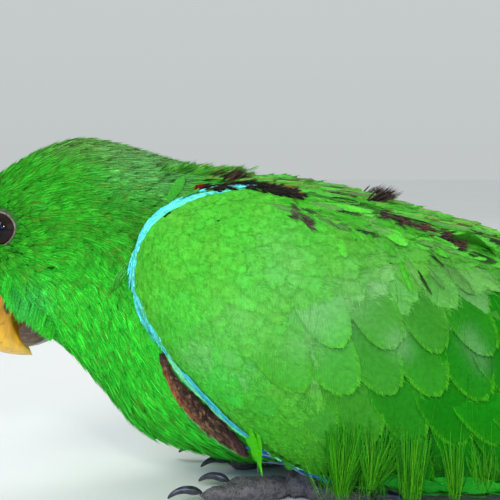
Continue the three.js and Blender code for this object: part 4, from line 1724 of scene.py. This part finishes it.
def hanging(rng, starts, ends, count, bend, surface, colours, width=0.17, out=0.7, loose=12):
    """Loose strands from a line of roots to a line of tips, each line given by its two photo points."""
    points, faces, tint, grain, roots = [], [], [], [], []
    steps = 6
    for _ in range(count):
        s = rng.random()
        e = 0.7 * s + 0.3 * rng.random()
        start = mix(np.array(starts[0]), starts[1], s) + rng.normal(0, 1, 2) * (0.3 * loose, loose)
        end = mix(np.array(ends[0]), ends[1], e) + rng.normal(0, 1, 2) * (0.1 * loose, 0.4 * loose)
        spot, _ = seen_at(start[0], start[1], surface)
        if spot is None:
            continue
        level = -spot.y + out * MM
        middle = (start + end) / 2 + np.array([rng.normal(0, bend), 0])
        colour = np.array(colours[rng.integers(len(colours))]) * math.exp(rng.normal(0, 0.22))
        first = len(points)
        lean = rng.uniform(-1, 1)
        for k in range(steps + 1):
            t = k / steps
            px, py = (1 - t) ** 2 * start + 2 * t * (1 - t) * middle + t * t * end
            x, z = place(px, py, level)
            half = width * (1 - 0.75 * t) / 2 * MM
            y = -level - (0.5 * math.sin(math.pi * t) + lean * t * 0.5 - 0.7 * (1 - t) ** 4) * MM
            for sign in (-1, 1):
                points.append((x + sign * half, y + sign * half * lean * 0.6, z))
                tint.append(np.array(linear(38, 134, 18)) * (1 - t) ** 2 + colour * (1 - (1 - t) ** 2))
                grain.append((sign * width / 2, t * 16))
                roots.append(spot)
            if k < steps:
                a = first + 2 * k
                faces += [(a, a + 1, a + 3), (a, a + 3, a + 2)]
    return {"points": np.array(points), "faces": np.array(faces), "tint": np.array(tint),
            "grain": np.array(grain), "patch": SKIN.patch_centres(np.array(roots)) + 0.0015 * np.array(grain)}


# Single feathers drawn from the photo: from pixel, to pixel, half width and lift in mm, tone
SHOULDER_TONES = ((56, 160, 28), (84, 156, 40), (88, 150, 66), (76, 184, 46), (18, 34, 20), (158, 148, 56),
                  (106, 152, 56), (84, 92, 50))
SHOULDER = [
    (238, 177, 302, 185, 1.0, 0.9, 1), (258, 181, 318, 197, 0.5, 1.2, 5), (286, 191, 304, 195, 0.5, 1.2, 5),
    (282, 179, 346, 187, 1.1, 0.8, 2), (302, 182, 372, 197, 1.3, 0.9, 2), (322, 188, 394, 202, 1.3, 0.8, 2),
    (346, 191, 414, 207, 1.3, 0.8, 2), (262, 194, 320, 211, 1.9, 1.0, 0), (296, 198, 372, 214, 1.6, 1.2, 3),
    (308, 209, 371, 226, 2.1, 1.3, 0), (288, 204, 313, 221, 1.3, 0.9, 0), (340, 201, 436, 218, 1.5, 1.1, 2),
    (374, 217, 403, 254, 2.3, 1.7, 3), (337, 231, 343, 264, 1.5, 1.0, 3), (350, 226, 354, 244, 0.8, 1.1, 0),
    (358, 227, 362, 246, 0.8, 1.2, 3), (365, 225, 371, 248, 0.9, 1.1, 0), (426, 218, 498, 257, 2.4, 1.1, 3),
    (417, 232, 446, 262, 1.6, 1.2, 0), (412, 224, 452, 248, 0.5, 1.5, 3), (402, 221, 440, 238, 0.5, 1.3, 2),
    (424, 209, 500, 236, 1.8, 0.8, 1), (452, 216, 530, 250, 2.2, 0.7, 0), (413, 262, 428, 300, 0.5, 1.4, 4),
    (420, 256, 440, 296, 0.8, 1.4, 2), (404, 252, 418, 296, 0.9, 1.3, 2), (398, 254, 408, 300, 0.8, 1.2, 0),
    (427, 248, 441, 272, 0.4, 1.4, 4), (440, 258, 470, 300, 2.3, 0.9, 2), (454, 258, 500, 292, 2.7, 0.8, 2),
    (380, 232, 392, 262, 1.7, 0.8, 3),
]
# Highest and lowest roots of the small shoulder feathers at some photo x, and where the gap leaves none
SHOULDER_ACROSS = (200, 250, 300, 350, 400, 450, 500)
SHOULDER_TOPS, SHOULDER_LOWS = (172, 176, 181, 190, 203, 215, 228), (184, 196, 207, 220, 233, 246, 258)
SHOULDER_START, SHOULDER_END, BARE_END, BARE_TOP, BARE_LOW = 206, 500, 288, 180, 196
# Tones to draw from in the lower rows and in the upper ones
LOW_TONES, TOP_TONES = (0, 0, 0, 1, 2, 2, 3, 3, 4), (0, 0, 1, 1, 3, 6, 6, 6, 7)
# Rows of large coverts, lowest first: photo pixels of the first and last tip, how many, length in pixels,
# half width and lift in mm, and depth of green at both ends
COVERT_ROWS = (
    ((428, 492), (566, 490), 4, 84, 4.6, 0.25, 1.0, 1.0),
    ((330, 440), (594, 450), 7, 70, 7.2, 0.5, 0.45, 1.5),
    ((306, 392), (574, 402), 7, 68, 7.0, 0.8, 0.25, 1.25),
    ((342, 348), (540, 360), 5, 62, 6.4, 1.1, 0.2, 1.0),
    ((230, 436), (300, 452), 3, 44, 5.2, 0.3, 0.3, 0.4),
    ((208, 402), (274, 414), 3, 42, 5.0, 0.4, 0.2, 0.2),
    ((240, 366), (284, 372), 2, 40, 4.8, 0.5, 0.1, 0.1))
# Angle in which a large covert runs to its tip, by the tip's photo x
COVERT_TURN = ((200, -52), (340, -61), (430, -66), (500, -60), (580, -40), (660, -26), (700, -20))
# Bunches of strands: photo pixels of the first and last root and the first and last tip, how many, and bend
STRAND_BUNCHES = (
    ((326, 440), (368, 446), (335, 496), (350, 499), 210, 5),
    ((360, 446), (406, 454), (369, 486), (378, 490), 200, 6),
    ((400, 446), (431, 450), (402, 500), (425, 503), 170, 2),
    ((336, 478), (352, 482), (320, 502), (366, 503), 40, 6),
    ((368, 478), (380, 480), (350, 502), (398, 502), 36, 6),
    ((448, 456), (468, 460), (453, 500), (463, 503), 70, 2),
    ((472, 456), (500, 460), (476, 488), (498, 498), 40, 5),
    ((300, 470), (330, 480), (316, 499), (344, 503), 30, 5),
)
NECK_BUNCH = ((106, 296), (118, 284)), ((124, 257), (134, 270))
OLIVE_STRANDS = ((54, 140, 8), (72, 156, 12), (38, 112, 6), (96, 176, 28), (60, 160, 14))
# Broad dark strands laid under each bunch are painted shade among the strands
DARK_STRANDS = ((26, 92, 6), (32, 110, 10))
NECK_STRANDS = ((60, 160, 44), (112, 204, 96), (40, 120, 30))
# Groups of single blades: feathers as in the shoulder but with no tone, colours of vane and rim, length and
# half width in mm, barbs, roundness, start of the scatter, how deep and how freely they lie, and if pointed
BLADES = (
    (((246, 445, 318, 477, 1.4, 0.8), (258, 453, 326, 482, 1.3, 0.6), (282, 459, 338, 486, 1.2, 0.9)),
     (38, 108, 190), (56, 128, 204), 20, 1.0, 8, 0.8, 54, -0.9, 0.35, False),
    (((262, 452, 312, 476, 0.7, 1.1), (268, 459, 312, 480, 0.6, 1.0), (260, 459, 296, 476, 0.5, 1.2)),
     (152, 160, 208), (120, 130, 190), 16, 0.6, 4, 0.8, 59, -0.9, 0.35, False),
    (((249, 428, 264, 479, 1.5, 0.9), (257, 432, 262, 469, 1.1, 0.6), (243, 430, 257, 464, 1.1, 0.6)),
     (62, 176, 16), (100, 198, 40), 15, 1.8, 18, 0.3, 60, 0.2, 0.02, True),
    (((168, 202, 184, 177, 1.7, 0.6), (176, 200, 191, 179, 1.6, 0.8)),
     (58, 158, 42), (72, 172, 56), 9, 1.8, 16, 0.45, 61, 0.4, 0.35, False),
    (((368, 476, 446, 490, 3.4, 0.5), (418, 484, 505, 498, 3.6, 0.6), (470, 490, 560, 503, 3.8, 0.6)),
     (28, 152, 30), (52, 176, 46), 30, 3.6, 40, 0.6, 55, 0.4, 0.35, False),
)
# Where cheek and chin hang over the bill, in photo pixels
CHIN_EDGE = ((4, 284), (7, 298), (13, 308), (22, 315), (32, 322), (42, 330), (50, 338))
# Down along a line: its photo pixels, lean in radians, spread in pixels, how many, half width in mm and tones
# Down in the gaps of the back is partly dark down and partly painted shade; the first strip's near-black
# tones most of all
DOWN_STRIPS = (
    (BACK_GAPS[0], -0.2, 0.9, 320, 0.5, ((8, 10, 16), (16, 18, 26), (34, 28, 24))),
    (BACK_GAPS[1], -0.42, 2.6, 110, 0.42, ((104, 66, 54), (46, 34, 34), (76, 56, 56))),
    (((284, 206), (296, 212), (306, 221)), -0.6, 2.6, 44, 0.24,
     ((104, 96, 80), (72, 78, 54), (128, 122, 100))),
)
# Photo x between which a strip is wider, and how much
WIDE_FROM, WIDE_TO, WIDER = 240, 292, 1.9
# Tufts that stand up: photo pixel, spread in pixels, how many, how much higher than the plain ones, and tones
STANDING_TUFTS = (
    (226, 178, 6, 26, 1.0, ((54, 40, 36), (88, 66, 48), (26, 22, 24))),
    (374, 200, 5, 36, 2.3, ((58, 46, 44), (84, 68, 62), (70, 60, 50))),
    (204, 171, 20, 90, 1.0, ((84, 190, 50), (124, 186, 72), (62, 156, 40))),
)
# Photo pixel of the red fleck at the shoulder, and left, right, top and bottom of the down under the wing
RED_FLECK, BROWN_DOWN = (196, 187), (322, 344, 476, 496)


class PARROT_OT_loose_feathers(Operator):
    """Lay the shoulder feathers, large coverts, flank band, strands, blades, down and chin tufts"""
    bl_idname = "parrot.loose_feathers"
    bl_label = "Loose feathers"

    def execute(self, context):
        sizes, c = context.scene.parrot_sizes, context.scene.parrot_colours
        rng = np.random.default_rng(sizes.seed + 50)
        width = sizes.barb_width / MM
        guide = SKIN.guide
        self.pair("shoulder_feathers", self.shoulders(rng, guide, width), firm_finish())
        self.pair("large_coverts", self.coverts(rng, guide, width, c), firm_finish())
        self.pair("flank_band", self.flank(rng, guide, width, c), soft_finish())
        self.pair("hanging_strands", self.strands(rng, guide), soft_finish())
        self.pair("edge_quills", self.quills(rng, guide, width), firm_finish())
        self.pair("down_and_shade_tufts", self.down(rng, guide, width), soft_finish())
        self.pair("chin_tufts", self.chin(rng, guide, width), soft_finish())
        return {"FINISHED"}

    def pair(self, name, arrays, material):
        build_piece(f"{name}_left", arrays, material, "plumage")
        build_piece(f"{name}_right", mirrored(arrays), material, "plumage")

    def shoulders(self, rng, guide, width):
        """Long narrow feathers over the join of wing and back."""
        rows = []
        tops, lows = np.array(SHOULDER_TOPS), np.array(SHOULDER_LOWS)
        gaps = np.concatenate([np.array(gap, dtype=float) for gap in BACK_GAPS])
        for tier in np.linspace(0, 1, 7):
            for px in np.arange(SHOULDER_START, SHOULDER_END, 7.0):
                px = px + rng.normal(0, 3)
                line = np.interp([px, px + 30], SHOULDER_ACROSS, tops * (1 - tier) + lows * tier)
                py = line[0] + rng.normal(0, 1.3)
                if px < BARE_END and BARE_TOP < py < BARE_LOW:
                    continue
                reach = rng.uniform(34, 62)
                slope = (line[1] - line[0]) / 30 + 0.12 * tier + rng.normal(0, 0.05)
                end = (px + reach, py + reach * slope)
                row = (px, py, *end, rng.uniform(1.1, 1.8), rng.uniform(0.2, 1.0),
                       rng.choice(LOW_TONES if tier > 0.3 else TOP_TONES))
                line = np.array([np.linspace(px, end[0], 7), np.linspace(py, end[1], 7)]).T
                if np.linalg.norm(line[:, None] - gaps[None], axis=2).min() >= 4.5:
                    rows.append(row)
        plan, rows = drawn(rows + SHOULDER, guide, free=0.8, bury=0.7, level=0.18)
        patterns = [vane_pattern(rng, 16, 1.8, 26, 1.3, width * 0.8, rows=9, columns=4, splits=6, camber=0.3,
                                 roundness=rng.uniform(0.2, 0.5), narrow=0.5) for _ in range(6)]
        vane = np.array([linear(*SHOULDER_TONES[row[6]]) for row in rows])
        return lay(plan, patterns, vane, mix(vane, linear(130, 210, 90), 0.26), 51, feather_spread=0.16,
                   patch=0.004)

    def coverts(self, rng, guide, width, c):
        """Broad rounded feathers of the rear wing, each row over the next lower one."""
        rows = []
        for first, last, count, length, half, lift, *depths in COVERT_ROWS:
            for share in np.linspace(0, 1, count):
                tip = mix(np.array(first), last, share) + rng.normal(0, 1.5, 2)
                turn = math.radians(np.interp(tip[0], *zip(*COVERT_TURN)) + rng.normal(0, 2))
                root = tip - length * np.array([math.cos(turn), -math.sin(turn)])
                depth = min(1.0, depths[0] * (1 - share) + depths[1] * share)
                rows.append((*root, *tip, half * rng.uniform(0.95, 1.08),
                             lift + rng.uniform(-0.06, 0.06), depth))
        plan, rows = drawn(rows, guide, steps=8, free=0.9, bury=0.9, back=0.45)
        patterns = [vane_pattern(rng, 22, 5.2, 110, 1.5, width * 0.6, rows=11, columns=8, roundness=0.4,
                                 splits=5, camber=0.08, narrow=0.5, wear=False) for _ in range(5)]
        depth = np.array([[row[6]] for row in rows])
        vane = mix(wing_colours(plan.roots, 0.0)[0], linear(10, 114, 2), depth)
        rim = mix(vane, c.wing_fringe, 0.4)
        # The wash lays painted sheen over the coverts in greyish patches
        return lay(plan, patterns, vane, rim, 57, barb_spread=0.12, feather_spread=0.05, patch=0.006,
                   wash=lambda points: (0.36 * wing_sheen(points), c.painted_sheen))

    def flank(self, rng, guide, width, c):
        """Brown mottled feathers with an orange red outer fringe, below the wing's lower edge."""
        def at(share, across):
            return mix(on_path(FLANK_INNER, share), on_path(FLANK_OUTER, share), across)

        wing = node_surface("wing_left").tree
        rows = []
        for share in np.linspace(-0.02, 0.95, 90):
            for across in (0.08, 0.25, 0.42, 0.59, 0.76, 0.93):
                start = at(share, across) + rng.normal(0, 0.7, 2)
                end = at(share + rng.uniform(0.045, 0.08), across + rng.normal(0, 0.08))
                end = end + rng.normal(0, 0.7, 2)
                row = (*start, *end, rng.uniform(0.5, 0.8), rng.uniform(0.6, 0.95), share, across)
                spot, _ = seen_at(start[0], start[1], guide)
                if spot and wing.find_nearest(spot)[3] > 0.3 * MM:
                    rows.append(row)
        plan, rows = drawn(rows, guide, steps=4, bury=-0.2)
        share, across = (np.array([[row[k]] for row in rows]) for k in (6, 7))
        chance = rng.random((len(rows), 3))
        fringe = (ramp(across[:, 0], 0.55, 0.9) * ramp(share[:, 0], 0.02, 0.16)
                  * (1 - ramp(share[:, 0], 0.5, 0.68)))
        vane = painted(
            np.array(c.flank),
            (linear(34, 26, 28), chance[:, :1] < 0.95 - 0.75 * across),
            (linear(164, 128, 88), 0.75 * (chance[:, 1:2] < 0.3 * across)),
            (linear(88, 60, 66), 0.45 * ramp(share[:, 0], 0.6, 0.9)),
            (c.flank_rim, 0.7 * fringe * (chance[:, 2:] < 0.75)))
        patterns = [tuft_pattern(rng, 5, 1.1, 10, width * 0.8) for _ in range(5)]
        brown = lay(plan, patterns, vane * 0.8, mix(vane, linear(170, 130, 96), 0.12), 52, barb_spread=0.34)
        line = [(*at(share, 1.05), *at(share + 0.15, 1.1), 0.45, 1.1) for share in np.linspace(0.45, 0.85, 9)]
        plan, line = drawn(line, guide, steps=4)
        pale = np.tile(linear(112, 196, 104), (len(line), 1))
        return joined_arrays([brown, lay(plan, patterns, pale * 0.8, pale, 58)])

    def strands(self, rng, guide):
        """Loose barbs that hang over the wing's lower edge, and curled ones in the crease of the neck."""
        olive, shadow, green = ([linear(*tone) for tone in tones]
                                for tones in (OLIVE_STRANDS, DARK_STRANDS, NECK_STRANDS))
        sets = []
        for left, right, low_left, low_right, count, bend in STRAND_BUNCHES:
            lines = (left, right), (low_left, low_right)
            # broad dark strands under each bunch: painted shade
            sets.append(hanging(rng, *lines, count // 3, bend, guide, shadow, 0.5, 0.35))
            sets.append(hanging(rng, *lines, count, bend, guide, olive))
        sets.append(hanging(rng, *NECK_BUNCH, 26, 5, guide, green, 0.12, 0.3, 3))
        return joined_arrays(sets)

    def quills(self, rng, guide, width):
        """Blue feathers that show under the wing's edge, and single blades that stand clear of it."""
        sets = []
        for rows, vane, rim, length, half, fringe, roundness, seed, bury, free, pointed in BLADES:
            plan, rows = drawn(rows, guide, bury=bury, free=free, level=0.0 if pointed else 1.0)
            pattern = vane_pattern(rng, length, half, fringe, 1.1, width * 0.8, rows=10, columns=4,
                                   roundness=roundness, splits=fringe // 4, camber=0.12, wear=False,
                                   pointed=pointed)
            vane, rim = (np.tile(linear(*tone), (len(rows), 1)) for tone in (vane, rim))
            sets.append(lay(plan, [pattern], vane, rim, seed, patch=0.004))
        return joined_arrays(sets)

    def chin(self, rng, guide, width):
        """Small tufts of cheek and chin that hang over the base of the bill."""
        rows = []
        for share in rng.random(240):
            spot = on_path(CHIN_EDGE, share) + rng.normal(0, 1.6, 2)
            reach = rng.uniform(0.6, 1.1) * (10 - 5 * share)
            rows.append((*(spot + (4, -12)), *(spot + (1 - 3 * share, reach)), rng.uniform(0.32, 0.55),
                         rng.uniform(0.2, 0.7)))
        plan, rows = drawn(rows, guide, steps=4, free=0.02, level=0.0)
        vane, rim = body_colours(plan.roots)
        patterns = [tuft_pattern(rng, 6, 0.6, 8, width * 0.6) for _ in range(5)]
        olive = ramp(pixel_of(plan.roots, CHIN_OUT)[0], 6, 20) * 0.3
        vane, rim = mix(vane, linear(48, 96, 22), olive), mix(rim, linear(70, 150, 40), olive)
        return lay(plan, patterns, vane * 0.85, rim, 62, barb_spread=0.26)

    def down(self, rng, guide, width):
        """Dark tufts in the gaps of the back, partly down and partly painted shade, tufts that stand off the
        back, and the ruff of the nape.
        """
        rows = []

        def tuft(x, y, angle, length, half, lift, *tone):
            reach = length / (PIXEL / MM)
            rows.append((x, y, x + reach * math.cos(angle), y - reach * math.sin(angle), half, lift, tone))

        for path, lean, spread, count, half, tones in DOWN_STRIPS:
            for share in rng.random(count):
                x, y = on_path(path, share)
                wide = spread * (WIDER if WIDE_FROM < x < WIDE_TO else 1)
                tuft(x, y + rng.normal(0, wide), lean + rng.normal(0, 0.12), rng.uniform(3.4, 5.6), half,
                     rng.uniform(0.6, 1.2), *tones[rng.integers(len(tones))])
        for x, y, spread, count, high, tones in STANDING_TUFTS:
            for _ in range(count):
                tuft(x + rng.normal(0, spread), y + rng.normal(0, 1.6 / high), rng.uniform(0.02, 0.42) * high,
                     rng.uniform(3.5, 6.5), 0.4, rng.uniform(1.0, 2.4) * high,
                     *tones[rng.integers(len(tones))])
        x, y = RED_FLECK
        for _ in range(14):
            tuft(x + rng.normal(0, 2.4), y + rng.normal(0, 1.1), -0.1, 2.4, 0.4, 1.1, 146, 14, 16)
        left, right, top, low = BROWN_DOWN
        for _ in range(30):
            tuft(rng.uniform(left, right), rng.uniform(top, low), -0.9, 5, 0.6, 0.6, 96, 66, 52)
        plan, rows = drawn(rows, guide, steps=4)
        vane = np.array([linear(*row[6]) for row in rows])
        patterns = [tuft_pattern(rng, 6, 0.9, 12, width * 0.7, lift=0.6) for _ in range(6)]
        return lay(plan, patterns, vane * 0.7, mix(vane, linear(120, 110, 80), 0.15), 56, barb_spread=0.3)


# Stage

def floor_finish():
    f = Finish("floor", Roughness=0.8, Specular_IOR_Level=0.2)
    dust = f.noise(9.0, 3.0)
    f.colour(f.ramp(dust, (0.3, linear(226, 226, 223)), (0.7, linear(229, 229, 226))))
    return f.material


# Lamps: name, place, width in metres, power in watts and colour, all turned to the bird's middle
LAMPS = (
    ("key", (-0.42, -0.72, 0.62), 0.4, 4.5, (1.0, 0.98, 0.94)),
    ("fill", (0.55, -0.6, 0.35), 0.5, 0.9, (0.94, 0.97, 1.0)),
    ("rim", (0.1, 0.55, 0.8), 0.5, 3.4, (0.92, 0.97, 1.0)),
    ("spark", (-0.045, -0.43, 0.236), 0.036, 0.5, (1.0, 1.0, 1.0)),
    ("sky", (-0.12, -0.46, 0.19), 0.1, 0.5, (0.08, 0.2, 1.0)),
)
LAMP_AIM = Vector((-0.06, 0, 0.06))


class PARROT_OT_stage(Operator):
    """Make the pale floor, the studio light and the camera"""
    bl_idname = "parrot.stage"
    bl_label = "Stage"

    def execute(self, context):
        scene = context.scene
        deselect()
        bpy.ops.mesh.primitive_plane_add(size=8, location=(0, 0, 0))
        floor = bpy.context.object
        floor.name = floor.data.name = "floor"
        floor.data.materials.append(floor_finish())
        world = bpy.data.worlds.new("studio")
        scene.world = world
        world.use_nodes = True
        tree = world.node_tree
        split = tree.nodes.new("ShaderNodeSeparateXYZ")
        shade = tree.nodes.new("ShaderNodeValToRGB")
        tree.links.new(tree.nodes.new("ShaderNodeTexCoord").outputs["Generated"], split.inputs[0])
        tree.links.new(split.outputs["Z"], shade.inputs[0])
        tree.links.new(shade.outputs[0], tree.nodes["Background"].inputs["Color"])
        low, high = shade.color_ramp.elements
        low.color, high.color = (*linear(203, 208, 208), 1), (*linear(222, 228, 232), 1)
        high.position = 0.6
        tree.nodes["Background"].inputs["Strength"].default_value = 0.9
        for name, spot, size, power, colour in LAMPS:
            lamp = bpy.data.lights.new(name, "AREA")
            lamp.size, lamp.energy, lamp.color = size, power, colour
            holder = bpy.data.objects.new(name, lamp)
            scene.collection.objects.link(holder)
            holder.location = spot
            holder.visible_camera = False
            holder.rotation_euler = (LAMP_AIM - Vector(spot)).to_track_quat("-Z", "Y").to_euler()
        camera = bpy.data.cameras.new("camera")
        camera.sensor_width = 36
        camera.lens = camera.sensor_width * CAMERA_DISTANCE / (2 * PHOTO_CENTRE * PIXEL)
        camera.clip_start = 0.01
        holder = bpy.data.objects.new("camera", camera)
        scene.collection.objects.link(holder)
        holder.location = CAMERA_PLACE
        holder.rotation_euler = (-TOWARDS_CAMERA).to_track_quat("-Z", "Y").to_euler()
        scene.camera = holder
        scene.view_settings.view_transform = "Standard"
        return {"FINISHED"}


STEPS = (PARROT_OT_skin, PARROT_OT_soft_coat, PARROT_OT_body_coat, PARROT_OT_wing_coat,
         PARROT_OT_flight_feathers, PARROT_OT_eyes, PARROT_OT_bill, PARROT_OT_feet,
         PARROT_OT_loose_feathers, PARROT_OT_stage)


class PARROT_PT_panel(Panel):
    """Steps and sizes of the parrot"""
    bl_idname = "PARROT_PT_panel"
    bl_label = "Eclectus parrot"
    bl_space_type = "VIEW_3D"
    bl_region_type = "UI"
    bl_category = "Parrot"

    def draw(self, context):
        for group in (context.scene.parrot_sizes, context.scene.parrot_colours):
            box = self.layout.box()
            for name in group.bl_rna.properties.keys():
                if name not in ("rna_type", "name"):
                    box.prop(group, name)
        for step in STEPS:
            self.layout.operator(step.bl_idname)


CLASSES = (ParrotSizes, ParrotColours, *STEPS, PARROT_PT_panel)


def register():
    for cls in CLASSES:
        bpy.utils.register_class(cls)
    bpy.types.Scene.parrot_sizes = PointerProperty(type=ParrotSizes)
    bpy.types.Scene.parrot_colours = PointerProperty(type=ParrotColours)


def unregister():
    del bpy.types.Scene.parrot_sizes
    del bpy.types.Scene.parrot_colours
    for cls in reversed(CLASSES):
        bpy.utils.unregister_class(cls)


def main():
    register()
    for step in STEPS:
        group, name = step.bl_idname.split(".")
        getattr(getattr(bpy.ops, group), name)()


if __name__ == "__main__":
    main()
